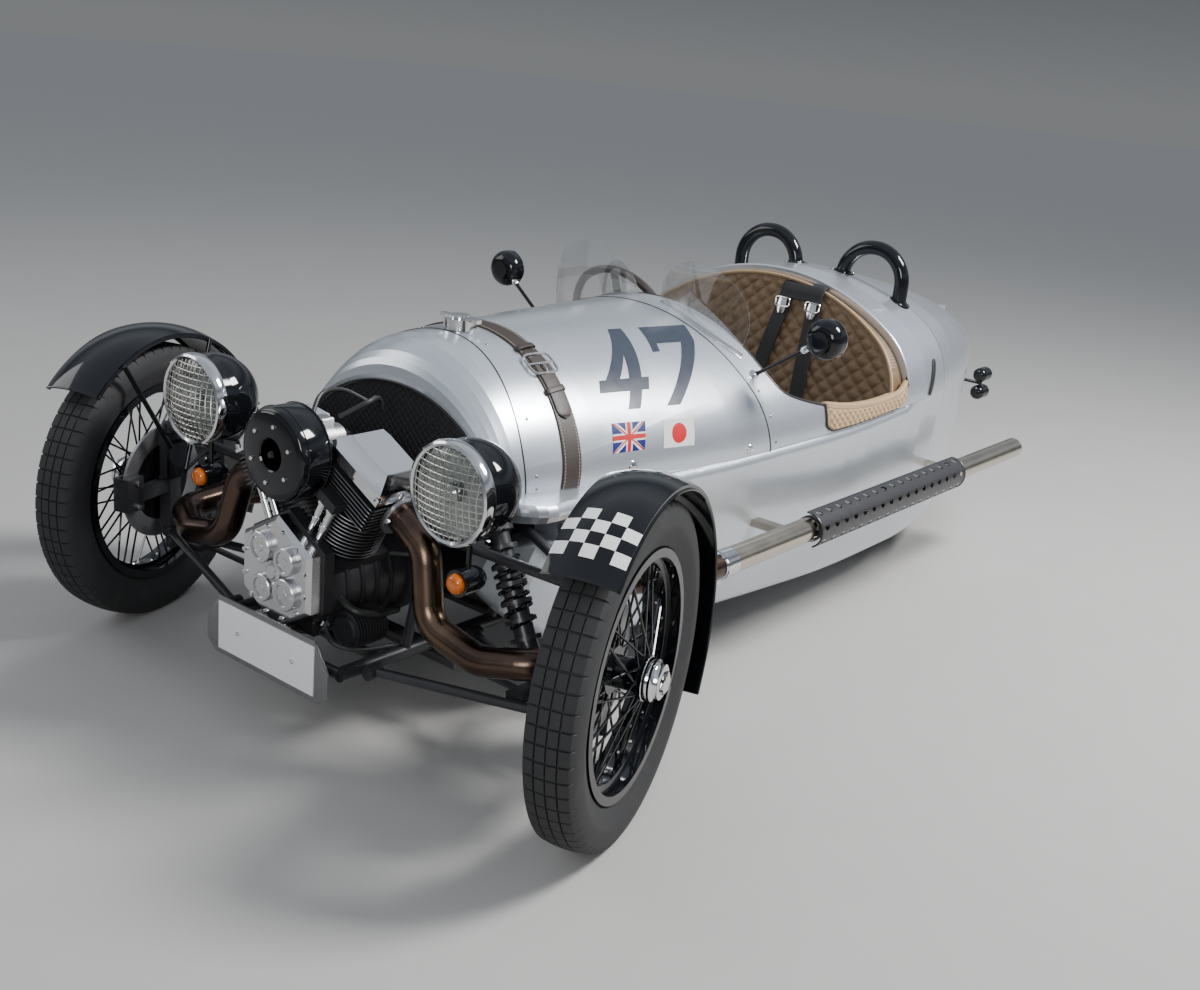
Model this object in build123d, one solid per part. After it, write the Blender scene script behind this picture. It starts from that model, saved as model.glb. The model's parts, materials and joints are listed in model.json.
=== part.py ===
"""Open three wheeled sports car: two steered wheels and a bare V-twin in front, one driven wheel in the tail.

Millimetres, +Z up, the front towards -Y, +X is the car's left side.
Every Y in this file is a distance behind the front axle; write_node() moves it to the finished frame,
whose origin is on the ground under the middle of the whole car.
"""
from build123d import *
import math
import os

# Overall places and sizes
WHEELBASE = 2390
FRONT_AXLE_Y = -WHEELBASE / 2 - 77.5
TRACK = 1489
REST_STEER = 17.0
SEAT_GAP = 0.3

# Front wheels
TYRE_R = 345
TYRE_W = 106
RIM_R = 250
RIM_W = 84
RIM_BED = 14
HUB_R = 32
HUB_IN = 44
HUB_OUT = 58
SPOKE_IN = 14
CAP_R = 42
CAP_OUT = 96
SPOKES_PER_SIDE = 20
SPOKE_R = 2.6
DISC_R = 140
DISC_T = 6
DISC_IN = 40

# Rear wheel
REAR_TYRE_R = 308
REAR_TYRE_W = 188
REAR_RIM_R = 205
REAR_AXLE_R = 12

# Steering pivots of the front wheels
KINGPIN_OFFSET = 65
STUB_R = 15
PIVOT_R = 9
FIT = 0.05
UPPER_BALL_Z = 490
LOWER_BALL_Z = 220
BALL_R = 19
BALL_H = 24
ARM_LENGTH = 105
TRACK_ROD_Z = 158
TRACK_ROD_R = 8
ROD_EYE_R = 15
ROD_EYE_H = 22
ARM_GAP = 6

# Wings
WING_R = 392
WING_W = 142
WING_T = 4
WING_CROWN = 14
WING_FRONT_DEG = 46
WING_REAR_DEG = 207

# Body shell: measured cross-sections from the nose to the tail tip; those behind the cockpit keep to the rear wheel
# Columns: y, half width at the shoulder, foot of the arch, crown, corner radius, half width at floor, floor
NOSE_Y = 110
MEASURED = (
    (NOSE_Y, 303, 557, 822, 180, 262, 340),
    (200, 321, 553, 836, 180, 292, 250),
    (420, 358, 545, 848, 200, 330, 142),
    (990, 440, 545, 859, 225, 418, 135),
    (WHEELBASE - 950, 485, 570, 885, 240, 458, 135),
    (WHEELBASE - 610, 485, 588, 904, 240, 456, 135),
    (WHEELBASE - 190, 404, 600, 842, 190, 380, 138),
    (WHEELBASE + 110, 297, 590, 776, 140, 277, 148),
    (WHEELBASE + 330, 192, 580, 712, 90, 176, 160),
    (WHEELBASE + 450, 112, 590, 672, 50, 100, 172),
    (WHEELBASE + 490, 60, 600, 648, 26, 52, 180),
)
BETWEEN = (1, 1, 3, 3, 2, 2, 2, 1, 2, 1)
NOSE_STEPS = (4, 12, 24, 40, 62)
NOSE_ROUND = 90
NOSE_DRAW = (0, 8, 0, 72, 50, 10, 0)

# How far the tub stands out beyond the panels above it, as (y, width)
LEDGE = ((NOSE_Y, 60), (125, 78), (145, 90), (170, 97), (200, 95), (300, 72), (420, 42), (610, 20), (800, 11),
         (990, 8), (WHEELBASE - 780, 4), (WHEELBASE - 610, 0))
LEDGE_CORNER = 28
FLOOR_CORNER = 24
SKIN = 5
TUB_WALL = 16
SHELL_GAP = 0.4

# Shoulder line between the tub and the upper panels, as (y, z)
SHOULDER_START = (0, 565)
SHOULDER_MID = (450, 543)
SHOULDER_LOW = (900, 543)
SHOULDER_END = (WHEELBASE + 560, 652)

# Panel joints along the body, as (y, z) from the shoulder to the crown where they lean
COWL_SEAM = ((196, 560), (212, 716), (262, 850))
SCUTTLE_SEAM = ((996, 546), (938, 860))
BULKHEAD_Y = 330
COCKPIT_FRONT = 1050
COCKPIT_REAR = WHEELBASE - 725
LID_FRONT = WHEELBASE - 460
LID_REAR = WHEELBASE + 410
LIP = 14

# Cockpit opening seen from the side: offsets from its front or rear end, and heights
CUT_TOP_Z = 735
CUT_BEND = (20, 690)
CUT_START = (76, 662)
CUT_LOW = (324, 619)
CUT_END = (-35, 627)
CUT_CORNER = (-8, 640)
CUT_REAR_Z = 672
PAD_T = 14
PAD_IN = 24
PAD_TOP = 14

# Engine: the crankshaft lies along Y
CRANK_Z = 335
VEE_HALF = 28
CYL_Y = -75
CYL_R = 76
CYL_CORE_R = 58
BARREL_START = 118
BARREL_END = 232
HEAD_END = 306
FIN_PITCH = 9.5
FIN_T = 4
HEAD_W = 176
HEAD_D = 140
COVER_W = 182
COVER_D = 142
COVER_H = 56
CASE_FRONT = -150
CASE_REAR = 60
CASE_R = 116
AIR_R = 97
AIR_Z = 630
AIR_FRONT = -228
AIR_DEPTH = 76
GEAR_R = 126
GEAR_T = 36
GEAR_Z = 370
CHEST_FRONT = -178
SIDE_OFFSET = 30
PUSHROD_R = 9
BELL_R = 126
MANIFOLD_R = 24

# Frame tubes
RAIL_X = 200
RAIL_Z = 205
RAIL_R = 16
TOP_RAIL_X = 255
TOP_RAIL_R = 14
RAIL_FRONT = -205
ARM_TUBE_R = 11

# Exhaust
PIPE_R = 32
PIPE_T = 2.5
PIPE_X = 555
PIPE_Z = 358
PIPE_START = 640
PIPE_END = WHEELBASE - 24
GUARD_START = 1035
GUARD_END = WHEELBASE - 500
BRACKET_FRONT_Y = 975
BRACKET_REAR_Y = GUARD_END + 27

# Lamps
LAMP_R = 100
LAMP_X = 407
LAMP_Y = -121
LAMP_Z = 639
LAMP_DEPTH = 150

# Front number plate
PLATE_W = 316
PLATE_H = 111
PLATE_T = 2
PLATE_Y = -236
PLATE_Z = 206
BRACKET_W = 400
BRACKET_H = 136
BRACKET_T = 3
PLATE_HOLE_PITCH = 180
PLATE_HOLE_R = 3

# Roll hoops
HOOP_R = 22
HOOP_X = 187
HOOP_HALF = 102
HOOP_TOP = 1000
HOOP_Y = LID_FRONT - 25

# Bonnet strap and the filler cap in front of it, aero screens and mirrors
STRAP_Y = 342
STRAP_LEAN = 9
STRAP_W = 50
FILLER_R = 38
FILLER_Y = STRAP_Y - 7 - FILLER_R
SCREEN_X = 178
SCREEN_Z = 842
SCREEN_R = 143
SCREEN_BEND_R = 230
MIRROR_FOOT = (350, 1008, 720)
MIRROR_HEAD = (532, 1024, 848)
MIRROR_R = 51

# Inside and behind
PLATE_WALL = 6
RADIATOR_Y = 150
RADIATOR_T = 40
RADIATOR_Z = 520
DASH_Y = COCKPIT_FRONT - 20
DASH_T = 12
DASH_Z = 640
SEAT_BACK_Y = COCKPIT_REAR - 125
SEAT_BACK_T = 62
SEAT_BACK_LEAN = 13
SEAT_BACK_Z = 230
SEAT_BACK_INSET = 1.5
SEAT_FRONT = SEAT_BACK_Y - 40 * math.cos(math.radians(SEAT_BACK_LEAN)) - SEAT_GAP
CUSHION = (105, 392, COCKPIT_FRONT + 30, SEAT_FRONT, 150)
TUNNEL_HALF = 95
TUNNEL_TOP = 392

# Steering wheel
WHEEL_X = -215
WHEEL_Y = 1190
WHEEL_Z = 735
WHEEL_R = 168
WHEEL_RIM_R = 11
COLUMN_TILT = 22
COLUMN_R = 20
SHAFT_R = 12

# Damper eyes
EAR_YS = (15, 95)
EAR_T = 10
DAMPER_TOP = (345, 60, 565)
DAMPER_LOW = (530, 30, 247.5)
DAMPER_EYE_R = 15
SPRING_R = 33

# Header pipe of the left cylinder, port first; the right one is its mirror image
# Columns: x, y, z, bend radius at that point
HEADER_ROUTE = (
    (207, -65, 528, 0),
    (298, -72, 480, 60),
    (335, -88, 330, 70),
    (470, -85, 300, 70),
    (583, -30, 312, 70),
    (583, 120, 322, 110),
    (428, 325, 345, 110),
    (555, 545, 358, 120),
    (555, 639.7, 358, 0),
)

# Tail
HINGE_Z = 694
HINGE_R = 4
HINGE_FIT = 0.3
HINGE_EAR = 4.4
LAMP_STALK_X = 218
SWING_X = 126
SWING_PIVOT = (LID_FRONT + 32, 262)
SWING_PIVOT_HALF = 170
REAR_AXLE_Z = 308
REAR_PLATE_W = 230
REAR_PLATE_H = 150
REAR_PLATE_Z = 330

NODES = []


def write_node(name, *solids):
    """Write one node: its solids are moved from the front axle's frame to the finished frame."""
    moved = [Pos(0, FRONT_AXLE_Y, 0) * solid for solid in solids]
    export_step(Compound(children=moved), f"parts/{name}.step")
    NODES.append(name)


def solids_of(shape):
    return list(shape.solids())


def mirror_x(shape):
    return mirror(shape, about=Plane.YZ)


def both_sides(shape):
    return [shape, mirror_x(shape)]


def box(x0, x1, y0, y1, z0, z1):
    return Pos((x0 + x1) / 2, (y0 + y1) / 2, (z0 + z1) / 2) * Box(x1 - x0, y1 - y0, z1 - z0)


def rod(start, end, radius, bore=0.0):
    """Straight round bar or tube between two points."""
    a, b = Vector(*start), Vector(*end)
    axis = b - a
    plane = Plane(origin=(a + b) / 2, z_dir=axis)
    body = plane * Cylinder(radius, axis.length)
    return body - plane * Cylinder(bore, axis.length) if bore else body


def bent_rod(points, bends, radius, bore=0.0):
    """Round bar or tube along straight runs joined by tangent arcs."""
    path = FilletPolyline(*points, radius=bends)
    plane = Plane(origin=path @ 0, z_dir=path % 0)
    body = sweep(plane * Circle(radius), path=path)
    return body - sweep(plane * Circle(bore), path=path) if bore else body


def plate_xz(points, y0, y1):
    """Flat plate with an outline in X and Z, from y0 to y1."""
    face = make_face(Plane((0, y1, 0), x_dir=(1, 0, 0), z_dir=(0, -1, 0)) * Polyline(*points, close=True))
    return extrude(face, amount=y1 - y0)


def turned_y(outline, centre):
    """Solid turned about an axis along Y through centre; outline columns: radius, y."""
    cx, cz = centre
    face = make_face(Plane((cx, 0, cz), x_dir=(1, 0, 0), z_dir=(0, 0, 1)) * outline)
    return revolve(face, axis=Axis((cx, 0, cz), (0, 1, 0)))


# Body form

def section_wire(y, half, foot, crown, corner, floor_half, floor, inset=0.0, drop=0.0):
    """Closed section: flat floor, rounded bilges, straight sides and a three-centred arch on top."""
    half, floor_half = half - inset, floor_half - inset
    crown, corner, floor = crown - inset, max(corner - inset, 8), floor + inset - drop
    a, b = half - corner, crown - foot
    crown_r = (a * a + b * b - corner * corner) / (2 * (b - corner))
    centre_z = crown - crown_r
    lift = math.atan2(foot - centre_z, a)
    tx, tz = a + corner * math.cos(lift), foot + corner * math.sin(lift)
    mx, mz = a + corner * math.cos(lift / 2), foot + corner * math.sin(lift / 2)
    bilge = min(FLOOR_CORNER, floor_half * 0.6)
    side = Vector(half - floor_half, foot - floor).normalized()
    bx, bz = floor_half + side.X * bilge, floor + side.Y * bilge
    cut = bilge * (1 - math.sqrt(0.5))
    kx, kz = floor_half + (side.X - 1) * cut, floor + side.Y * cut

    def at(x, z):
        return (x, y, z)

    edges = [
        Edge.make_line(at(-floor_half + bilge, floor), at(floor_half - bilge, floor)),
        Edge.make_three_point_arc(at(floor_half - bilge, floor), at(kx, kz), at(bx, bz)),
        Edge.make_line(at(bx, bz), at(half, foot)),
        Edge.make_three_point_arc(at(half, foot), at(mx, mz), at(tx, tz)),
        Edge.make_three_point_arc(at(tx, tz), at(0, crown), at(-tx, tz)),
        Edge.make_three_point_arc(at(-tx, tz), at(-mx, mz), at(-half, foot)),
        Edge.make_line(at(-half, foot), at(-bx, bz)),
        Edge.make_three_point_arc(at(-bx, bz), at(-kx, kz), at(-floor_half + bilge, floor)),
    ]
    return Wire(edges)


def eased(rows, y):
    """Columns of a table at y, along smooth curves that never swing past the rows on either side."""
    index = min(max(sum(1 for row in rows if row[0] <= y) - 1, 0), len(rows) - 2)
    here, after = rows[index], rows[index + 1]
    gap = after[0] - here[0]
    t = (y - here[0]) / gap

    def slope(row_index, column):
        steps = []
        for i in (row_index - 1, row_index):
            if 0 <= i < len(rows) - 1:
                steps.append((rows[i + 1][column] - rows[i][column]) / (rows[i + 1][0] - rows[i][0]))
        if len(steps) < 2 or steps[0] * steps[1] <= 0:
            return steps[0] if len(steps) < 2 else 0.0
        return 2 * steps[0] * steps[1] / (steps[0] + steps[1])

    values = [y]
    for column in range(1, len(here)):
        m0, m1 = slope(index, column) * gap, slope(index + 1, column) * gap
        values.append((2 * t ** 3 - 3 * t ** 2 + 1) * here[column] + (t ** 3 - 2 * t ** 2 + t) * m0
                      + (3 * t ** 2 - 2 * t ** 3) * after[column] + (t ** 3 - t ** 2) * m1)
    return values


def body_row(y):
    """Section measures at y, with the nose drawn in to its rounded front edge."""
    row = eased(MEASURED, y)
    left = max(0.0, 1 - (y - NOSE_Y) / NOSE_ROUND)
    share = 1 - math.sqrt(1 - left * left)
    return [value - share * draw for value, draw in zip(row, NOSE_DRAW)]


def tub_row(y):
    """Section measures of the tub's outside, which stands out as a ledge and has a rounded top edge."""
    row = body_row(y)
    ledge = 0.0 if y >= LEDGE[-1][0] else eased(LEDGE, y)[1]
    if ledge <= 0:
        return row
    top = shoulder_z(y)
    return [y, row[1] + ledge, top - LEDGE_CORNER + 4, top + 12, LEDGE_CORNER, row[5] + ledge / 4, row[6]]


def station_places():
    """The y of every cross-section: close together at the nose, wider behind."""
    places = [NOSE_Y] + [NOSE_Y + step for step in NOSE_STEPS]
    for index, count in enumerate(BETWEEN):
        start, end = MEASURED[index][0], MEASURED[index + 1][0]
        if index:
            places += [start + (end - start) * step / (count + 1) for step in range(count + 1)]
    return places + [MEASURED[-1][0]]


def loft_form(row_at, y0, y1, inset, drop):
    places = station_places()
    first = max([i for i, y in enumerate(places) if y <= y0], default=0)
    last = min([i for i, y in enumerate(places) if y >= y1], default=len(places) - 1)
    wires = [section_wire(*row_at(y), inset=inset, drop=drop) for y in places[first:last + 1]]
    return Solid.make_loft(wires, True) & slab(y0, y1)


def body_form(y0, y1, inset=0.0, drop=0.0):
    """The body between two cuts across the car, drawn in by inset; drop lowers its floor only."""
    return loft_form(body_row, y0, y1, inset, drop)


def tub_form(y0, y1, inset=0.0):
    return loft_form(tub_row, y0, y1, inset, 0.0)


def below_shoulder(offset=0.0):
    """Everything under the shoulder line, as a prism right across the car."""
    low = (SHOULDER_LOW[0], SHOULDER_LOW[1] + offset)
    start = (SHOULDER_START[0], SHOULDER_START[1] + offset)
    end = (SHOULDER_END[0], SHOULDER_END[1] + offset)
    middle = (SHOULDER_MID[0], SHOULDER_MID[1] + offset)
    outline = Curve() + [ThreePointArc(start, middle, low), Line(low, end),
                         Polyline(end, (end[0], -50), (start[0], -50), start)]
    return extrude(make_face(Plane.YZ * outline), amount=700, both=True)


def shoulder_z(y):
    """Height of the shoulder line: a shallow arc in front, straight behind."""
    low_y, low_z = SHOULDER_LOW
    if y >= low_y:
        return low_z + (y - low_y) / (SHOULDER_END[0] - low_y) * (SHOULDER_END[1] - low_z)
    middle_y, front_z = (SHOULDER_MID[0] + low_y) / 2, SHOULDER_START[1]
    half = low_y - middle_y
    rise = front_z - low_z
    centre = (middle_y ** 2 - half ** 2 + rise ** 2) / (2 * rise)
    radius = math.hypot(half, centre)
    return low_z + centre - math.sqrt(radius ** 2 - (y - middle_y) ** 2)


def slab(y0, y1):
    return box(-700, 700, y0, y1, -100, 1200)


def upper_skin(y0, y1):
    """Skin of the upper panels between two joints."""
    return body_form(y0, y1) - body_form(y0, y1, SKIN) - below_shoulder()


def across_car(outline):
    """Prism right across the car from an outline in Y and Z."""
    return extrude(make_face(Plane.YZ * (Curve() + outline)), amount=700, both=True)


def ahead_of_cowl_seam(shift=0.0):
    low, middle, high = [(y + shift, z) for y, z in COWL_SEAM]
    return across_car([Polyline(high, (high[0] + 20, 1100), (-50, 1100), (-50, 400), (low[0], 400), low),
                       ThreePointArc(low, middle, high)])


def ahead_of_scuttle_seam(shift=0.0):
    (y0, z0), (y1, z1) = SCUTTLE_SEAM
    lean = (y1 - y0) / (z1 - z0)
    low = (y0 + shift + lean * (400 - z0), 400)
    high = (y0 + shift + lean * (1100 - z0), 1100)
    return across_car([Polyline(high, (-50, 1100), (-50, 400), low, high)])


def cockpit_cut(lift=0.0):
    """Cockpit opening, cut down at both sides to a low wall above the shoulder."""
    front, rear = COCKPIT_FRONT, COCKPIT_REAR
    top = (front, CUT_TOP_Z + lift)
    bend = (front + CUT_BEND[0], CUT_BEND[1] + lift)
    start = (front + CUT_START[0], CUT_START[1] + lift)
    low = (front + CUT_LOW[0] * (rear - front) / 615, CUT_LOW[1] + lift)
    end = (rear + CUT_END[0], CUT_END[1] + lift)
    corner = (rear + CUT_CORNER[0], CUT_CORNER[1] + lift)
    high = (rear, CUT_REAR_Z + lift)
    return across_car([Polyline(high, (rear, 1000), (front, 1000), top), ThreePointArc(top, bend, start),
                       ThreePointArc(start, low, end), ThreePointArc(end, corner, high)])


def seated_on_body(shape, y0, y1):
    """Cut a fitting so that its foot follows the body's skin."""
    return shape - body_form(y0, y1, -SEAT_GAP)


def body_panels():
    low, high = below_shoulder(-SHELL_GAP), below_shoulder()
    cowl_end, scuttle_start = COWL_SEAM[2][0] + 60, SCUTTLE_SEAM[1][0] - 20
    cowl = body_form(NOSE_Y, cowl_end) - body_form(NOSE_Y + SKIN, cowl_end, SKIN)
    mouth = extrude(Face(section_wire(*body_row(NOSE_Y), inset=LIP)), amount=2 * SKIN, dir=(0, 1, 0))
    cowl = (cowl - mouth - high) & ahead_of_cowl_seam()
    write_node("nose_cowl", *solids_of(cowl))
    bonnet = upper_skin(COWL_SEAM[0][0] - 10, SCUTTLE_SEAM[0][0] + 10)
    bonnet = (bonnet - ahead_of_cowl_seam(SHELL_GAP)) & ahead_of_scuttle_seam()
    write_node("bonnet", *solids_of(bonnet))

    surround = upper_skin(scuttle_start, LID_FRONT - 3) - ahead_of_scuttle_seam(SHELL_GAP) - cockpit_cut()
    for x in (HOOP_X - HOOP_HALF, HOOP_X + HOOP_HALF):
        for side in (1, -1):
            surround -= rod((side * x, HOOP_Y, 700), (side * x, HOOP_Y, 1000), HOOP_R + 2 * SEAT_GAP)
    write_node("cockpit_surround", *solids_of(surround))

    floor_start, tub_end = BULKHEAD_Y + PLATE_WALL, LID_FRONT - SHELL_GAP
    chin = tub_form(NOSE_Y, floor_start) - body_form(NOSE_Y, floor_start, TUB_WALL, drop=80)
    tub = chin + (tub_form(floor_start, tub_end) - body_form(floor_start, tub_end, TUB_WALL))
    tub &= low
    for pocket in both_sides(box(TOP_RAIL_X - 60, 460, 0, 250, UPPER_BALL_Z - 35, UPPER_BALL_Z + 25)):
        tub -= pocket
    write_node("tub", *solids_of(tub))

    tail = body_form(LID_FRONT, MEASURED[-1][0]) - body_form(LID_FRONT, MEASURED[-1][0] - SKIN, SKIN, drop=60)
    lid_space = slab(LID_FRONT - 5, LID_REAR + 3) - low
    hinge_y = LID_REAR + 1.5
    lugs = box(-34, -14, hinge_y - HINGE_EAR, hinge_y + 30, HINGE_Z - 22, HINGE_Z + 7)
    lugs += box(14, 34, hinge_y - HINGE_EAR, hinge_y + 30, HINGE_Z - 22, HINGE_Z + 7)
    lugs -= body_form(LID_REAR - 60, MEASURED[-1][0], SKIN)
    lugs -= box(-50, 50, LID_REAR - 20, LID_REAR + 3, 0, HINGE_Z - HINGE_EAR)
    shell = tail - lid_space + lugs + rod((-34, hinge_y, HINGE_Z), (34, hinge_y, HINGE_Z), HINGE_R)
    write_node("tail_shell", *solids_of(shell))
    lid = upper_skin(LID_FRONT, LID_REAR)
    barrel = rod((-12, hinge_y, HINGE_Z), (12, hinge_y, HINGE_Z), HINGE_R + 4)
    barrel += box(-12, 12, LID_REAR - 30, hinge_y - 3, HINGE_Z - 12, HINGE_Z - 1)
    lid = lid + seated_on_lid(barrel) - rod((-13, hinge_y, HINGE_Z), (13, hinge_y, HINGE_Z), HINGE_R + HINGE_FIT)
    write_node("tail_lid", *solids_of(lid))

    front_plate = body_form(BULKHEAD_Y, BULKHEAD_Y + PLATE_WALL, TUB_WALL + SEAT_GAP)
    rear_y = HOOP_Y - HOOP_R - SHELL_GAP - PLATE_WALL
    rear_plate = body_form(rear_y, rear_y + PLATE_WALL, TUB_WALL + SEAT_GAP)
    write_node("bulkheads", front_plate, rear_plate)

    below_radiator = box(-400, 400, 0, RADIATOR_Y + 100, 0, RADIATOR_Z)
    grille = body_form(NOSE_Y + SKIN + SEAT_GAP, NOSE_Y + SKIN + 5, TUB_WALL + SEAT_GAP) - below_radiator
    radiator = body_form(RADIATOR_Y, RADIATOR_Y + RADIATOR_T, TUB_WALL + SEAT_GAP) - below_radiator
    write_node("grille", *solids_of(grille))
    write_node("radiator", *solids_of(radiator))


def seated_on_lid(barrel):
    """The hinge barrel's tab stays outside the lid's inner face."""
    return barrel - body_form(LID_REAR - 60, LID_REAR + 20, SKIN)


def body_fittings():
    cap = rod((0, FILLER_Y, 800), (0, FILLER_Y, 866), FILLER_R) + rod((0, FILLER_Y, 860), (0, FILLER_Y, 874), 22)
    cap += box(-58, 58, FILLER_Y - 8, FILLER_Y + 8, 862, 870)
    write_node("filler_cap", seated_on_body(cap, 240, 400))

    band = body_form(STRAP_Y - 110, STRAP_Y + 150, -3.5) - body_form(STRAP_Y - 110, STRAP_Y + 150, -SEAT_GAP)
    strip = Pos(0, STRAP_Y, 700) * Rot(-STRAP_LEAN, 0, 0) * Box(1400, STRAP_W, 600)
    write_node("bonnet_strap", *solids_of((band & strip) - below_shoulder(2)))

    screens = []
    for side in (1, -1):
        x = side * SCREEN_X
        y = COCKPIT_FRONT - 90 + SCREEN_BEND_R
        glass = rod((x, y, 700), (x, y, 1000), SCREEN_BEND_R, SCREEN_BEND_R - 4)
        glass &= box(x - SCREEN_R, x + SCREEN_R, COCKPIT_FRONT - 100, COCKPIT_FRONT - 20, 700, 1000)
        glass &= rod((x, COCKPIT_FRONT - 110, SCREEN_Z), (x, COCKPIT_FRONT, SCREEN_Z), SCREEN_R)
        screens += solids_of(seated_on_body(glass, COCKPIT_FRONT - 120, COCKPIT_FRONT + 10))
    write_node("aero_screens", *screens)

    foot, head = Vector(*MIRROR_FOOT), Vector(*MIRROR_HEAD)
    bowl = rod(head - (0, 24, 0), head + (0, 24, 0), MIRROR_R)
    bowl = fillet(bowl.faces().sort_by(Axis.Y)[0].edges(), 30)
    write_node("mirrors", *both_sides(seated_on_body(rod(foot, head, 5) + bowl, foot.Y - 40, foot.Y + 110)))

    hoops = []
    for side in (1, -1):
        inner, outer = side * (HOOP_X - HOOP_HALF), side * (HOOP_X + HOOP_HALF)
        top = HOOP_TOP - HOOP_R
        points = [(inner, HOOP_Y, 640), (inner, HOOP_Y, top), (outer, HOOP_Y, top), (outer, HOOP_Y, 640)]
        hoops.append(bent_rod(points, [HOOP_HALF - 2, HOOP_HALF - 2], HOOP_R))
    write_node("roll_hoops", *hoops)


def cabin():
    tunnel = box(-TUNNEL_HALF, TUNNEL_HALF, BULKHEAD_Y + PLATE_WALL + SEAT_GAP, SEAT_FRONT,
                 MEASURED[3][6] + TUB_WALL + SEAT_GAP, TUNNEL_TOP)
    tunnel = fillet(tunnel.edges().filter_by(Axis.Y).sort_by(Axis.Z)[-2:], 42)
    tunnel &= body_form(BULKHEAD_Y, SEAT_FRONT, TUB_WALL + SEAT_GAP)
    write_node("transmission_tunnel", *solids_of(tunnel))

    x0, x1, y0, y1, height = CUSHION
    floor = MEASURED[3][6] + TUB_WALL + SEAT_GAP
    cushion = fillet(box(x0, x1, y0, y1, floor, floor + height).edges(), 22)
    write_node("seat_cushions", *both_sides(cushion))

    back = body_form(SEAT_BACK_Y - 40, SEAT_BACK_Y - 40 + SEAT_BACK_T, TUB_WALL + SEAT_BACK_INSET)
    back -= box(-700, 700, SEAT_BACK_Y - 200, SEAT_BACK_Y + 200, 0, SEAT_BACK_Z)
    lean = Pos(0, SEAT_BACK_Y, SEAT_BACK_Z) * Rot(-SEAT_BACK_LEAN, 0, 0) * Pos(0, -SEAT_BACK_Y, -SEAT_BACK_Z)
    write_node("seat_back", *solids_of(lean * back))

    start, end = COCKPIT_FRONT + 170, COCKPIT_REAR - 14
    wall = body_form(start, end, -SEAT_GAP) - body_form(start, end, SKIN + SEAT_GAP) - cockpit_cut(SEAT_GAP)
    pads = body_form(start, end, -PAD_T) - body_form(start, end, PAD_IN)
    pads -= below_shoulder(10)
    pads -= cockpit_cut(PAD_TOP)
    pads = pads - wall - (body_form(start, end, -SEAT_GAP) & slab(SEAT_BACK_Y + 25, end))
    write_node("side_pads", *solids_of(pads))

    axis = column_axis()
    centre = Vector(WHEEL_X, WHEEL_Y, WHEEL_Z)
    dash = body_form(DASH_Y, DASH_Y + DASH_T, SKIN + SEAT_GAP) - box(-600, 600, DASH_Y - 50, DASH_Y + 50, 0, DASH_Z)
    hole = rod(centre, centre + axis * 300, COLUMN_R + SEAT_GAP)
    write_node("dashboard", *solids_of(dash - hole))
    column = rod(centre + axis * 44, centre + axis * 300, COLUMN_R, SHAFT_R + FIT)
    write_node("steering_column", column)

    ring = Plane(origin=centre, z_dir=axis) * Torus(WHEEL_R, WHEEL_RIM_R)
    hub = rod(centre - axis * 8, centre + axis * 26, 30) + rod(centre, centre + axis * 150, SHAFT_R)
    plane = Plane(origin=centre, x_dir=(1, 0, 0), z_dir=axis)
    for angle in (90, 210, 330):
        hub += plane * Rot(0, 0, angle) * box(20, WHEEL_R, -13, 13, -2, 2)
    write_node("steering_wheel", ring + hub)


def column_axis():
    tilt = math.radians(COLUMN_TILT)
    return Vector(0, -math.cos(tilt), -math.sin(tilt))


# Engine

def vee(along, across, y):
    """Point of the left cylinder: distance along its axis, across it outwards, and place along the car."""
    a = math.radians(VEE_HALF)
    return (along * math.sin(a) + across * math.cos(a), y, CRANK_Z + along * math.cos(a) - across * math.sin(a))


def vee_block(along0, along1, across0, across1, y0, y1):
    block = box(across0, across1, y0, y1, along0, along1)
    return Pos(0, 0, CRANK_Z) * Rot(0, VEE_HALF, 0) * block


def hexagon(radius, y0, y1, centre_z):
    face = Plane((0, y1, centre_z), x_dir=(0, 0, 1), z_dir=(0, -1, 0)) * RegularPolygon(radius, 6)
    return extrude(face, amount=y1 - y0)


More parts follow.
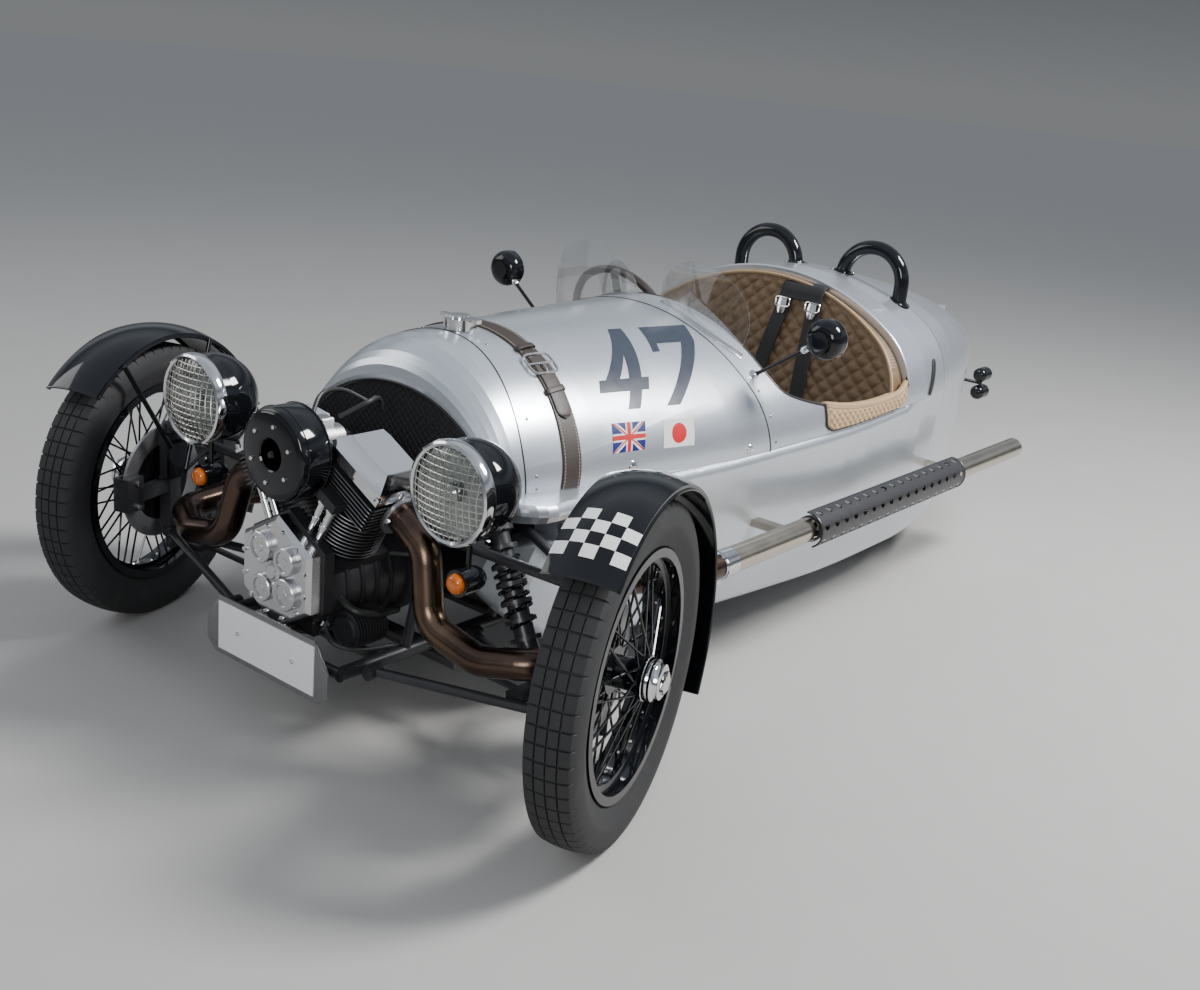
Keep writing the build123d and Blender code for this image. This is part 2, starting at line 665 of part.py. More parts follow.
def engine():
    case = rod((0, CASE_FRONT - 3, CRANK_Z), (0, CASE_REAR, CRANK_Z), CASE_R)
    block = vee_block(40, BARREL_START - SEAT_GAP, -72, 72, CYL_Y - 74, CYL_Y + 74) & box(-1, 300, -300, 200, 0, 700)
    for part in both_sides(block):
        case += part
    case += hexagon(GEAR_R + 8, CHEST_FRONT, CASE_FRONT - 2, GEAR_Z)
    bell = Plane((0, CASE_REAR + SEAT_GAP, CRANK_Z), z_dir=(0, 1, 0)) * Cone(
        BELL_R, 104, BULKHEAD_Y - CASE_REAR - 2 * SEAT_GAP, align=(Align.CENTER, Align.CENTER, Align.MIN))
    write_node("crankcase", *solids_of(case), bell)

    cylinder = rod(vee(BARREL_START, 0, CYL_Y), vee(BARREL_END + 4, 0, CYL_Y), CYL_CORE_R)
    fins = int((BARREL_END - BARREL_START - FIN_T) / FIN_PITCH)
    for index in range(fins):
        along = BARREL_START + 6 + index * FIN_PITCH
        cylinder += rod(vee(along, 0, CYL_Y), vee(along + FIN_T, 0, CYL_Y), CYL_R)
    half_w, half_d = HEAD_W / 2, HEAD_D / 2
    cylinder += vee_block(BARREL_END, HEAD_END, 14 - half_w, half_w - 14, CYL_Y - half_d + 14, CYL_Y + half_d - 14)
    for index in range(int((HEAD_END - BARREL_END) / FIN_PITCH)):
        along = BARREL_END + index * FIN_PITCH
        cylinder += vee_block(along, along + FIN_T, -half_w, half_w, CYL_Y - half_d, CYL_Y + half_d)
    cylinder += vee_block(BARREL_END, BARREL_END + 22, -SIDE_OFFSET, 26, CHEST_FRONT, CYL_Y)
    cylinder -= box(-300, 1, -400, 200, 0, 900)
    write_node("cylinders", *both_sides(cylinder))

    start = HEAD_END + SEAT_GAP
    half_w, half_d = COVER_W / 2, COVER_D / 2
    cover = vee_block(start, start + COVER_H, -half_w, half_w, CYL_Y - half_d, CYL_Y + half_d)
    top = cover.faces().sort_by(Axis((0, 0, 0), vee_direction()))[-1]
    cover = chamfer(top.edges(), 20, 26)
    write_node("rocker_covers", *both_sides(cover))

    tubes = []
    chest = hexagon(GEAR_R + 8 + SEAT_GAP, CHEST_FRONT - 5, CASE_FRONT + 20, GEAR_Z)
    for across in (-17, 12):
        foot_end = vee(BARREL_START - 20, across, CHEST_FRONT + 14)
        tube = rod(foot_end, vee(BARREL_END - SEAT_GAP, across, CHEST_FRONT + 14), PUSHROD_R)
        tube -= chest
        tubes += both_sides(max(solids_of(tube), key=lambda part: part.center().Z))
    write_node("pushrod_tubes", *tubes)

    gear = hexagon(GEAR_R, CHEST_FRONT - GEAR_T, CHEST_FRONT - SEAT_GAP, GEAR_Z)
    gear = chamfer(gear.faces().sort_by(Axis.Y)[0].edges(), 9)
    for x, z, radius in ((-38, 418, 34), (42, 408, 30), (-30, 330, 30), (44, 336, 34), (4, 376, 22)):
        gear += rod((x, CHEST_FRONT - GEAR_T + 5, z), (x, CHEST_FRONT - GEAR_T - 9, z), radius)
    write_node("gear_cover", gear)

    drum = rod((0, AIR_FRONT, AIR_Z), (0, AIR_FRONT + AIR_DEPTH, AIR_Z), AIR_R)
    drum = fillet(drum.faces().sort_by(Axis.Y)[0].edges(), 10)
    manifold = rod((0, AIR_FRONT + AIR_DEPTH - 5, AIR_Z), (0, CYL_Y + 45, AIR_Z), MANIFOLD_R)
    height = AIR_Z - CRANK_Z
    along = height * math.cos(math.radians(VEE_HALF))
    end = vee(along, -HEAD_W / 2 - SEAT_GAP, CYL_Y)
    for x in (1, -1):
        manifold += rod((0, CYL_Y, AIR_Z), (x * end[0], end[1], end[2]), MANIFOLD_R - 4)
    write_node("air_cleaner", drum + manifold)


def vee_direction():
    a = math.radians(VEE_HALF)
    return (math.sin(a), 0, math.cos(a))


# Exhaust

def exhaust():
    points = [row[:3] for row in HEADER_ROUTE]
    bends = [row[3] for row in HEADER_ROUTE[1:-1]]
    header = bent_rod(points, bends, PIPE_R)
    write_node("exhaust_headers", *both_sides(header))

    pipe = rod((PIPE_X, PIPE_START, PIPE_Z), (PIPE_X, PIPE_END, PIPE_Z), PIPE_R)
    pipe -= rod((PIPE_X, PIPE_END - 120, PIPE_Z), (PIPE_X, PIPE_END, PIPE_Z), PIPE_R - PIPE_T)
    for y, width in ((BRACKET_FRONT_Y, 30), (BRACKET_REAR_Y, 14)):
        bracket = box(380, PIPE_X - PIPE_R + 4, y - width / 2, y + width / 2, PIPE_Z - 10, PIPE_Z + 10)
        pipe += bracket - loft_form(tub_row, y - 60, y + 60, -SEAT_GAP, 0.0)
    write_node("side_pipes", *both_sides(max(solids_of(pipe), key=lambda part: part.volume)))

    outer, inner = PIPE_R + 16, PIPE_R + 14
    guard = Pos(PIPE_X, GUARD_START, PIPE_Z) * Rot(-90, 0, 0) * extrude(
        Rot(0, 0, 22.5) * (RegularPolygon(outer, 8) - RegularPolygon(inner, 8)), amount=GUARD_END - GUARD_START)
    guard -= box(PIPE_X - 100, PIPE_X - 12, GUARD_START - 50, GUARD_END + 50, 0, PIPE_Z + 12)
    for y in (GUARD_START + 6, GUARD_END - 16):
        guard += rod((PIPE_X, y, PIPE_Z), (PIPE_X, y + 10, PIPE_Z), PIPE_R + 11, PIPE_R + SEAT_GAP)
        guard += box(PIPE_X, PIPE_X + inner, y, y + 10, PIPE_Z - 5, PIPE_Z + 5) - rod(
            (PIPE_X, y, PIPE_Z), (PIPE_X, y + 10, PIPE_Z), PIPE_R + SEAT_GAP)
    write_node("pipe_guards", *both_sides(guard))


# Frame, suspension and steering

def kingpin_x():
    return TRACK / 2 - KINGPIN_OFFSET


def track_rod_y():
    """Track rod line, midway between the steering arms' ends at rest and straight ahead."""
    return ARM_LENGTH * (1 + math.cos(math.radians(REST_STEER))) / 2


def front_frame():
    back = BULKHEAD_Y - SEAT_GAP
    left = rod((RAIL_X, RAIL_FRONT, RAIL_Z), (RAIL_X, back, RAIL_Z), RAIL_R)
    left += rod((TOP_RAIL_X, -28, UPPER_BALL_Z), (TOP_RAIL_X, back, UPPER_BALL_Z), TOP_RAIL_R)
    for y in (-20, 250):
        left += rod((RAIL_X, y, RAIL_Z), (TOP_RAIL_X, y, UPPER_BALL_Z), 11)
    ear = [(245, 495), (300, 495), (375, 550), (375, 580), (338, 588), (302, 560), (302, 514), (245, 514)]
    for y in EAR_YS:
        left += plate_xz(ear, y, y + EAR_T)
    frame = left + mirror_x(left)
    for y in (RAIL_FRONT + 4, -90, 30, 280):
        z = RAIL_Z if y < -100 or y > 200 else CRANK_Z - CASE_R - 12.4
        frame += rod((-RAIL_X, y, z), (RAIL_X, y, z), 12)
    y = track_rod_y()
    frame += rod((-250, y, TRACK_ROD_Z), (250, y, TRACK_ROD_Z), 21)
    for side in (1, -1):
        frame += box(side * RAIL_X - 10, side * RAIL_X + 10, y - 12, y + 12, TRACK_ROD_Z + 12, RAIL_Z - 8)
    frame -= rod((-250, y, TRACK_ROD_Z), (250, y, TRACK_ROD_Z), TRACK_ROD_R + FIT)
    write_node("front_frame", *solids_of(frame))


def wishbone(pivot_x, pivot_z, ball_z, y_front, y_rear):
    """Two tubes from a ball housing at the kingpin to bushes beside the frame."""
    ball = (kingpin_x(), 0, ball_z)
    body = rod((ball[0], 0, ball_z - BALL_H / 2), (ball[0], 0, ball_z + BALL_H / 2), BALL_R)
    for y in (y_front, y_rear):
        body += rod(ball, (pivot_x, y, pivot_z), ARM_TUBE_R)
        body += rod((pivot_x, y - 17, pivot_z), (pivot_x, y + 17, pivot_z), RAIL_R)
    return body


def suspension():
    bore = rod((kingpin_x(), 0, 150), (kingpin_x(), 0, 560), PIVOT_R + FIT)
    flats = box(kingpin_x() - 25, kingpin_x() + 25, -25, 25, UPPER_BALL_Z - BALL_H / 2, UPPER_BALL_Z + BALL_H / 2)
    upper = wishbone(TOP_RAIL_X + TOP_RAIL_R + RAIL_R + SEAT_GAP, UPPER_BALL_Z, UPPER_BALL_Z, -15, 200) - bore
    lower = wishbone(RAIL_X + 2 * RAIL_R + SEAT_GAP, RAIL_Z, LOWER_BALL_Z, -140, 160)
    seat_top = DAMPER_LOW[2] - DAMPER_EYE_R - SEAT_GAP
    lower += box(508, 552, -36, 44, seat_top - 14, seat_top)
    lower = lower - bore
    write_node("wishbones", *both_sides(upper), *both_sides(lower))

    top, low = Vector(*DAMPER_TOP), Vector(*DAMPER_LOW)
    axis = (top - low).normalized()
    damper = rod((top.X, EAR_YS[0] + EAR_T + SEAT_GAP, top.Z), (top.X, EAR_YS[1] - SEAT_GAP, top.Z), DAMPER_EYE_R)
    damper += rod((low.X, low.Y - 15, low.Z), (low.X, low.Y + 15, low.Z), DAMPER_EYE_R)
    damper += rod(low, top, 14)
    span = (top - low).length
    damper += rod(low + axis * 34, low + axis * (span - 44), 22)
    coils = 8
    for index in range(coils):
        start = low + axis * (40 + index * (span - 100) / (coils - 1))
        damper += rod(start, start + axis * 9, SPRING_R)
    write_node("dampers", *both_sides(damper))

    for name, side in (("left", 1), ("right", -1)):
        write_node(f"upright_{name}", *solids_of(steered(upright(), side)))
        write_node(f"wing_{name}", *solids_of(steered(wing(), side)))
        wheel, tyre_ring = front_wheel()
        write_node(f"wheel_{name}", *solids_of(steered(at_wheel(wheel), side)))
        write_node(f"tyre_{name}", *solids_of(steered(at_wheel(tyre_ring), side)))

    shift = -ARM_LENGTH * math.sin(math.radians(REST_STEER))
    y = track_rod_y()
    ends = (kingpin_x() + shift, -kingpin_x() + shift)
    rods = rod((ends[1], y, TRACK_ROD_Z), (ends[0], y, TRACK_ROD_Z), TRACK_ROD_R)
    for x in ends:
        rods += rod((x, y, TRACK_ROD_Z - ROD_EYE_H / 2), (x, y, TRACK_ROD_Z + ROD_EYE_H / 2), ROD_EYE_R)
    write_node("track_rods", rods)


def steered(shape, side):
    """Place a piece drawn about the left kingpin, turned to the rest steer, on its side of the car."""
    if side < 0:
        shape = mirror_x(shape)
    return Pos(side * kingpin_x(), 0, 0) * Rot(0, 0, REST_STEER) * shape


def at_wheel(shape):
    return Pos(KINGPIN_OFFSET, 0, TYRE_R) * shape


def upright():
    """Upright about the kingpin: post, stub axle, pivot pins, steering arm and caliper."""
    half = BALL_H / 2
    top, bottom = UPPER_BALL_Z - half - 3, LOWER_BALL_Z + half + 3
    post = box(-16, 16, -20, 20, bottom, top)
    post += rod((0, 0, top), (0, 0, UPPER_BALL_Z + half - 3), PIVOT_R)
    post += rod((0, 0, bottom), (0, 0, LOWER_BALL_Z - half - 8), PIVOT_R)
    post += rod((0, 0, TYRE_R), (KINGPIN_OFFSET - HUB_IN - 5, 0, TYRE_R), 30)
    post += rod((0, 0, TYRE_R), (KINGPIN_OFFSET + HUB_OUT - 14, 0, TYRE_R), STUB_R)
    arm_z = TRACK_ROD_Z + ROD_EYE_H / 2 + ARM_GAP
    post += box(-13, 13, -13, ARM_LENGTH + 12, arm_z, arm_z + 12)
    post += rod((0, 0, arm_z), (0, 0, LOWER_BALL_Z - half - 5), PIVOT_R + 4)
    disc = KINGPIN_OFFSET - DISC_IN
    caliper = box(disc - 24, disc + DISC_T + 15, -152, -96, TYRE_R - 42, TYRE_R + 42)
    caliper -= box(disc - 6, disc + DISC_T + 6, -DISC_R - 7, -60, 0, 900)
    bridge = box(-12, disc - 10, -110, -16, TYRE_R - 16, TYRE_R + 16)
    return post + caliper + bridge


def wing():
    """Domed cycle wing about the wheel's axle, with its stays to the upright."""
    half, edge, top, t = WING_W / 2, WING_R - WING_CROWN, WING_R, WING_T
    outline = Curve() + [
        ThreePointArc((-half, edge), (0, top), (half, edge)),
        Polyline((half, edge), (half, edge - 10), (half - t, edge - 10), (half - t, edge - t)),
        ThreePointArc((half - t, edge - t), (0, top - t), (-half + t, edge - t)),
        Polyline((-half + t, edge - t), (-half + t, edge - 10), (-half, edge - 10), (-half, edge))]
    blade = revolve(make_face(Plane.XZ.rotated((0, 0, 0)) * outline), axis=Axis.X,
                    revolution_arc=WING_REAR_DEG - WING_FRONT_DEG)
    body = at_wheel(Rot(90 - WING_REAR_DEG, 0, 0) * blade)
    stay_x = KINGPIN_OFFSET - half - 6
    body += box(-16 - SEAT_GAP - 8, -16 - SEAT_GAP, -32, 36, 366, 462)
    for start_y, start_z, angle in ((-27, 448, 62), (30, 378, 112), (30, 378, 158)):
        a = math.radians(angle)
        end = (stay_x, -(edge - 4) * math.cos(a), TYRE_R + (edge - 4) * math.sin(a))
        body += rod((-24, start_y, start_z), end, 6)
    return body


# Wheels

def tyre(radius, width, rim_r, rim_w, tread_share):
    """Tyre section: crowned tread band, rounded shoulders, side walls down to the rim."""
    tread, wall, bead = width * tread_share / 2, width / 2, rim_w / 2 - 7.4
    bed = rim_r - RIM_BED + 1 + SEAT_GAP
    mid = rim_r + (radius - rim_r) * 0.48
    shoulder = (wall * 0.93, radius - (radius - mid) * 0.3)
    outline = Curve() + [
        Polyline((-bead, bed), (-bead, rim_r + 1), (-wall, mid)),
        ThreePointArc((-wall, mid), (-shoulder[0], shoulder[1]), (-tread, radius - 5)),
        ThreePointArc((-tread, radius - 5), (0, radius), (tread, radius - 5)),
        ThreePointArc((tread, radius - 5), shoulder, (wall, mid)),
        Polyline((wall, mid), (bead, rim_r + 1), (bead, bed), (-bead, bed))]
    return revolve(make_face(Plane.XZ * outline), axis=Axis.X)


def rim(radius, width):
    """Rolled rim with two flanges and a dropped centre; also gives the radius of its inner face."""
    half, wall = width / 2, 4
    ledge, deep = radius - RIM_BED + 1, radius - RIM_BED - 12
    side = [(half, ledge - 1 - wall), (half, radius), (half - 5, radius), (half - 7, ledge),
            (half - 24, ledge), (12, deep)]
    under = [(14, deep - wall), (half - 22, ledge - 1 - wall)]
    outline = side + [(-x, r) for x, r in reversed(side)] + [(-x, r) for x, r in reversed(under)] + under
    face = make_face(Plane.XZ * Polyline(*outline, close=True))
    return revolve(face, axis=Axis.X), deep - wall


def x_disc(x0, x1, radius, bore=0.0):
    """Round disc or ring about the wheel's axle, from x0 to x1."""
    return rod((x0, 0, 0), (x1, 0, 0), radius, bore)


def spoke(x, hub_r, rim_x, rim_r, start_deg, lead_deg):
    a, b = math.radians(start_deg), math.radians(start_deg + lead_deg)
    start = Vector(x, hub_r * math.cos(a), hub_r * math.sin(a))
    end = Vector(rim_x, rim_r * math.cos(b), rim_r * math.sin(b))
    plane = Plane(origin=start, z_dir=end - start)
    return extrude(plane * RegularPolygon(SPOKE_R, 6), amount=(end - start).length)


def front_wheel():
    """Wire wheel and its tyre about the X axis, outer face towards +X."""
    rim_ring, seat_r = rim(RIM_R, RIM_W)
    hub = x_disc(-HUB_IN, HUB_OUT, HUB_R)
    hub += x_disc(-SPOKE_IN - 4, -SPOKE_IN + 4, HUB_R + 16)
    hub += x_disc(HUB_OUT - 12, HUB_OUT - 4, HUB_R + 12)
    hub += x_disc(HUB_OUT, HUB_OUT + 16, CAP_R)
    hub += x_disc(HUB_OUT + 16, CAP_OUT - 8, CAP_R - 8)
    hub += extrude(Plane(origin=(CAP_OUT - 8, 0, 0), z_dir=(1, 0, 0)) * RegularPolygon(22, 6), amount=8)
    hub += x_disc(-DISC_IN, -DISC_IN + DISC_T, DISC_R)
    hub -= x_disc(-HUB_IN, HUB_OUT - 10, STUB_R + FIT)
    spokes = []
    step = 360 / SPOKES_PER_SIDE
    for index in range(SPOKES_PER_SIDE):
        lead = 42 if index % 2 else -42
        spokes.append(spoke(HUB_OUT - 8, HUB_R + 7, 6, seat_r + 2, index * step, lead))
        spokes.append(spoke(-SPOKE_IN, HUB_R + 11, -6, seat_r + 2, (index + 0.5) * step, lead))
    return rim_ring + [hub] + spokes, tyre(TYRE_R, TYRE_W, RIM_R, RIM_W, 0.72)


def rear_end():
    rim_w = REAR_TYRE_W - 20
    rim_ring, seat_r = rim(REAR_RIM_R, rim_w)
    wheel = rim_ring + x_disc(-18, 18, seat_r + 3, 70) + x_disc(-60, 60, 74)
    wheel -= x_disc(-60, 60, REAR_AXLE_R + FIT)
    at_axle = Pos(0, WHEELBASE, REAR_AXLE_Z)
    write_node("wheel_rear", *solids_of(at_axle * wheel))
    write_node("tyre_rear", at_axle * tyre(REAR_TYRE_R, REAR_TYRE_W, REAR_RIM_R, rim_w, 0.8))

    pivot_y, pivot_z = SWING_PIVOT
    arms = rod((-SWING_PIVOT_HALF, pivot_y, pivot_z), (SWING_PIVOT_HALF, pivot_y, pivot_z), 20)
    arms += rod((-SWING_X, WHEELBASE, REAR_AXLE_Z), (SWING_X, WHEELBASE, REAR_AXLE_Z), REAR_AXLE_R)
    lug_y = HOOP_Y - HOOP_R - SHELL_GAP + SEAT_GAP
    for side in (1, -1):
        x = side * SWING_X
        arms += rod((x, pivot_y, pivot_z), (x, WHEELBASE, REAR_AXLE_Z), 14)
        arms += rod((side * 66, WHEELBASE, REAR_AXLE_Z), (x, WHEELBASE, REAR_AXLE_Z), 20)
        arms += box(x - 12, x + 12, lug_y, pivot_y, pivot_z - 18, pivot_z + 18)
    write_node("rear_swingarm", *solids_of(arms))

    end = MEASURED[-1][0]
    plate = box(-REAR_PLATE_W / 2, REAR_PLATE_W / 2, end + 3, end + 5, REAR_PLATE_Z, REAR_PLATE_Z + REAR_PLATE_H)
    plate += box(-40, 40, end + SEAT_GAP, end + 3, REAR_PLATE_Z + 20, REAR_PLATE_Z + REAR_PLATE_H - 20)
    write_node("rear_plate", plate)

    y = end - 44
    lamps = rod((60, y, 444), (LAMP_STALK_X, y, 444), 6)
    lamps += rod((LAMP_STALK_X, y, 411), (LAMP_STALK_X, y, 476), 6)
    for z in (411, 476):
        bullet = rod((LAMP_STALK_X, y - 34, z), (LAMP_STALK_X, y + 32, z), 26)
        lamps += fillet(bullet.faces().sort_by(Axis.Y)[0].edges(), 20)
    lamps = seated_on_body(lamps, end - 130, end)
    write_node("tail_lamps", *both_sides(max(solids_of(lamps), key=lambda part: part.volume)))


# Lamps and number plate

def lamps():
    front, edge, back = LAMP_Y - 6, LAMP_Y + 35, LAMP_Y + LAMP_DEPTH
    ball_y = (back * back - edge * edge - LAMP_R * LAMP_R) / (2 * (back - edge))
    reach = (back - ball_y) * math.sqrt(0.5)
    outline = Curve() + [
        Polyline((0, LAMP_Y + 10), (LAMP_R - 8, LAMP_Y + 10), (LAMP_R - 8, front), (LAMP_R + 4, front),
                 (LAMP_R + 4, front + 18), (LAMP_R, front + 20), (LAMP_R, edge)),
        ThreePointArc((LAMP_R, edge), (reach, ball_y + reach), (0, back)),
        Line((0, back), (0, LAMP_Y + 10))]
    lamp = turned_y(outline, (LAMP_X, LAMP_Z))
    lamp += rod((362, LAMP_Y + 80, 575), (362, EAR_YS[0] - SEAT_GAP, 575), 12)
    lamp += rod((415, -70, LAMP_Z - 70), (415, -70, 450 + 27 + SEAT_GAP), 6)
    lens = rod((LAMP_X, LAMP_Y - 3, LAMP_Z), (LAMP_X, LAMP_Y + 10 - SEAT_GAP, LAMP_Z), LAMP_R - 8 - SEAT_GAP)
    write_node("headlamps", *both_sides(lamp))
    write_node("headlamp_lenses", *both_sides(lens))
    bullet = rod((415, -108, 450), (415, -42, 450), 27)
    bullet = fillet(bullet.faces().sort_by(Axis.Y)[-1].edges(), 20)
    write_node("indicators", *both_sides(bullet))

    low, high = PLATE_Z - BRACKET_H / 2, PLATE_Z + BRACKET_H / 2
    half = BRACKET_W / 2
    bracket_y = PLATE_Y + PLATE_T + SEAT_GAP
    outline = [(-half, low + 24), (-half + 30, low), (half - 30, low), (half, low + 24),
               (half, high - 60), (half - 44, high), (-half + 44, high), (-half, high - 60)]
    bracket = plate_xz(outline, bracket_y, bracket_y + BRACKET_T)
    tube_front = RAIL_FRONT + 4 - 12 - SEAT_GAP
    for x in (-110, 110):
        bracket += box(x - 15, x + 15, bracket_y, tube_front, RAIL_Z - 12, RAIL_Z + 12)
    plate = box(-PLATE_W / 2, PLATE_W / 2, PLATE_Y, PLATE_Y + PLATE_T, PLATE_Z - PLATE_H / 2, PLATE_Z + PLATE_H / 2)
    for x in (-PLATE_HOLE_PITCH / 2, PLATE_HOLE_PITCH / 2):
        hole = rod((x, PLATE_Y - 5, PLATE_Z), (x, bracket_y + BRACKET_T + 5, PLATE_Z), PLATE_HOLE_R)
        plate -= hole
        bracket -= hole
    write_node("number_plate", *solids_of(bracket), plate)


def main():
    os.makedirs("parts", exist_ok=True)
    body_panels()
    body_fittings()
    cabin()
    engine()
    exhaust()
    front_frame()
    suspension()
    rear_end()
    lamps()
    print(len(NODES), "nodes")


main()
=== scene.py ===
"""Dresses the three wheeled car: finishes for its solids, and the pieces that carry its fine detail.

Metres, +Z up, the front towards -Y, +X is the car's left side.
"""
import json
import math

import bmesh
import bpy
import numpy as np
from mathutils import Matrix, Vector


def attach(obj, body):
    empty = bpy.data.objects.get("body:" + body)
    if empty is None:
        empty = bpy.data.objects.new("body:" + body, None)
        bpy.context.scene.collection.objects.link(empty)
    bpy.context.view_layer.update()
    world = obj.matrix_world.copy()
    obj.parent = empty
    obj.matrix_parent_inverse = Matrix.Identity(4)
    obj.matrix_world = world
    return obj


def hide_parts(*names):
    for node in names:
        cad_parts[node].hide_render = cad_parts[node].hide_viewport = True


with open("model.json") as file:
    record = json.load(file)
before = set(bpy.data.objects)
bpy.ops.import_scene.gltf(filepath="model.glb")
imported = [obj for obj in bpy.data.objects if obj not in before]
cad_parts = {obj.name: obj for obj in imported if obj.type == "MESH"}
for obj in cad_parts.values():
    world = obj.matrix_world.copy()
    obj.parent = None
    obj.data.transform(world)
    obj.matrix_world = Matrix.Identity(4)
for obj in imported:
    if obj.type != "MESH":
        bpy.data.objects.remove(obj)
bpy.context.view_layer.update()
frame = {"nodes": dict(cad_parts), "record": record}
NODES = frame["nodes"]
TAU = 2 * math.pi

# Places that the pieces share, read from the solids; every piece is drawn with y from the front axle
FRONT_AXLE_Y = -1.2725
WHEELBASE = 2.39
REAR_WHEEL_R = 0.308


# Camera, as it stood when the photograph was taken
CAMERA_AT = (2.1186, -3.1826, 1.4563)
CAMERA_YAW = -0.6492
CAMERA_PITCH = 0.3114
CAMERA_ROLL = 0.0971
CAMERA_LENS = 40.715


def add_camera():
    forward = Vector((math.sin(CAMERA_YAW) * math.cos(CAMERA_PITCH),
                      math.cos(CAMERA_YAW) * math.cos(CAMERA_PITCH), -math.sin(CAMERA_PITCH)))
    level = Vector((math.cos(CAMERA_YAW), -math.sin(CAMERA_YAW), 0))
    over = level.cross(forward)
    right = math.cos(CAMERA_ROLL) * level + math.sin(CAMERA_ROLL) * over
    up = -math.sin(CAMERA_ROLL) * level + math.cos(CAMERA_ROLL) * over
    data = bpy.data.cameras.new("camera")
    data.sensor_fit = "HORIZONTAL"
    data.lens = CAMERA_LENS
    camera = bpy.data.objects.new("camera", data)
    turn = Matrix((right, up, -forward)).transposed()
    camera.matrix_world = Matrix.Translation(CAMERA_AT) @ turn.to_4x4()
    bpy.context.scene.collection.objects.link(camera)
    bpy.context.scene.camera = camera


def add_light(name, at, target, size, power):
    data = bpy.data.lights.new(name, "AREA")
    data.size = size
    data.energy = power
    lamp = bpy.data.objects.new(name, data)
    lamp.location = at
    lamp.rotation_euler = (Vector(target) - Vector(at)).to_track_quat("-Z", "Y").to_euler()
    bpy.context.scene.collection.objects.link(lamp)


def add_studio():
    """Pale floor, a sky in soft bands that are dim near the horizon, and three soft lights."""
    world = bpy.data.worlds.new("studio")
    world.use_nodes = True
    nodes, links = world.node_tree.nodes, world.node_tree.links
    where = nodes.new("ShaderNodeTexCoord")
    split = nodes.new("ShaderNodeSeparateXYZ")
    ramp = nodes.new("ShaderNodeValToRGB")
    links.new(where.outputs["Generated"], split.inputs["Vector"])
    links.new(split.outputs["Z"], ramp.inputs["Fac"])
    ramp.color_ramp.elements[0].color = (0.26, 0.27, 0.28, 1)
    ramp.color_ramp.elements[1].color = (0.55, 0.6, 0.68, 1)
    for place, shade in ((0.1, (0.15, 0.16, 0.17, 1)), (0.3, (0.62, 0.67, 0.74, 1)),
                         (0.46, (0.2, 0.23, 0.28, 1)), (0.7, (0.8, 0.87, 0.96, 1))):
        ramp.color_ramp.elements.new(place).color = shade
    links.new(ramp.outputs["Color"], nodes["Background"].inputs["Color"])
    nodes["Background"].inputs["Strength"].default_value = 0.75
    bpy.context.scene.world = world
    add_light("key", (3.2, 1.6, 4.6), (0, 0, 0.4), 1.6, 560)
    add_light("fill", (-4.5, -3.5, 3.2), (0, -0.4, 0.5), 3.0, 70)
    add_light("front", (2.6, -5.0, 2.2), (0, -1.0, 0.4), 1.6, 70)
    half = 60.0
    corners = [(-half, -half, 0), (half, -half, 0), (half, half, 0), (-half, half, 0)]
    floor = mesh_object("floor", corners, [(0, 1, 2, 3)])
    pale = finish("pale_floor", (0.4, 0.39, 0.375), roughness=0.9, grain=6.0, mottle=0.04)
    floor.data.materials.append(pale)


def mesh_object(name, points, faces):
    mesh = bpy.data.meshes.new(name)
    mesh.from_pydata(np.asarray(points, float).tolist(), [], [tuple(face) for face in faces])
    mesh.validate()
    piece = bpy.data.objects.new(name, mesh)
    bpy.context.scene.collection.objects.link(piece)
    return piece


def grid_faces(rows, columns, close_rows, close_columns):
    """Quads of a grid of rows by columns of points, wrapped round where it is closed."""
    row = np.arange(rows if close_rows else rows - 1)
    column = np.arange(columns if close_columns else columns - 1)
    i, j = np.meshgrid(row, column, indexing="ij")
    i2, j2 = (i + 1) % rows, (j + 1) % columns
    quads = np.stack([i * columns + j, i * columns + j2, i2 * columns + j2, i2 * columns + j], -1)
    return quads.reshape(-1, 4).tolist()


# Finishes

def add_node(tree, kind, output, values, sources):
    """One output of a new shader node, its values set and its inputs linked from their sources."""
    node = tree.nodes.new("ShaderNode" + kind)
    if kind == "Mix":
        node.data_type = "RGBA"
    set_node(tree, node, values, sources)
    return node.outputs[output]


def set_node(tree, node, values, sources):
    """Gives a node's inputs their values, or links them from their sources."""
    for name, value in values.items():
        node.inputs[name].default_value = value
    for name, source in sources.items():
        tree.links.new(source, node.inputs[name])


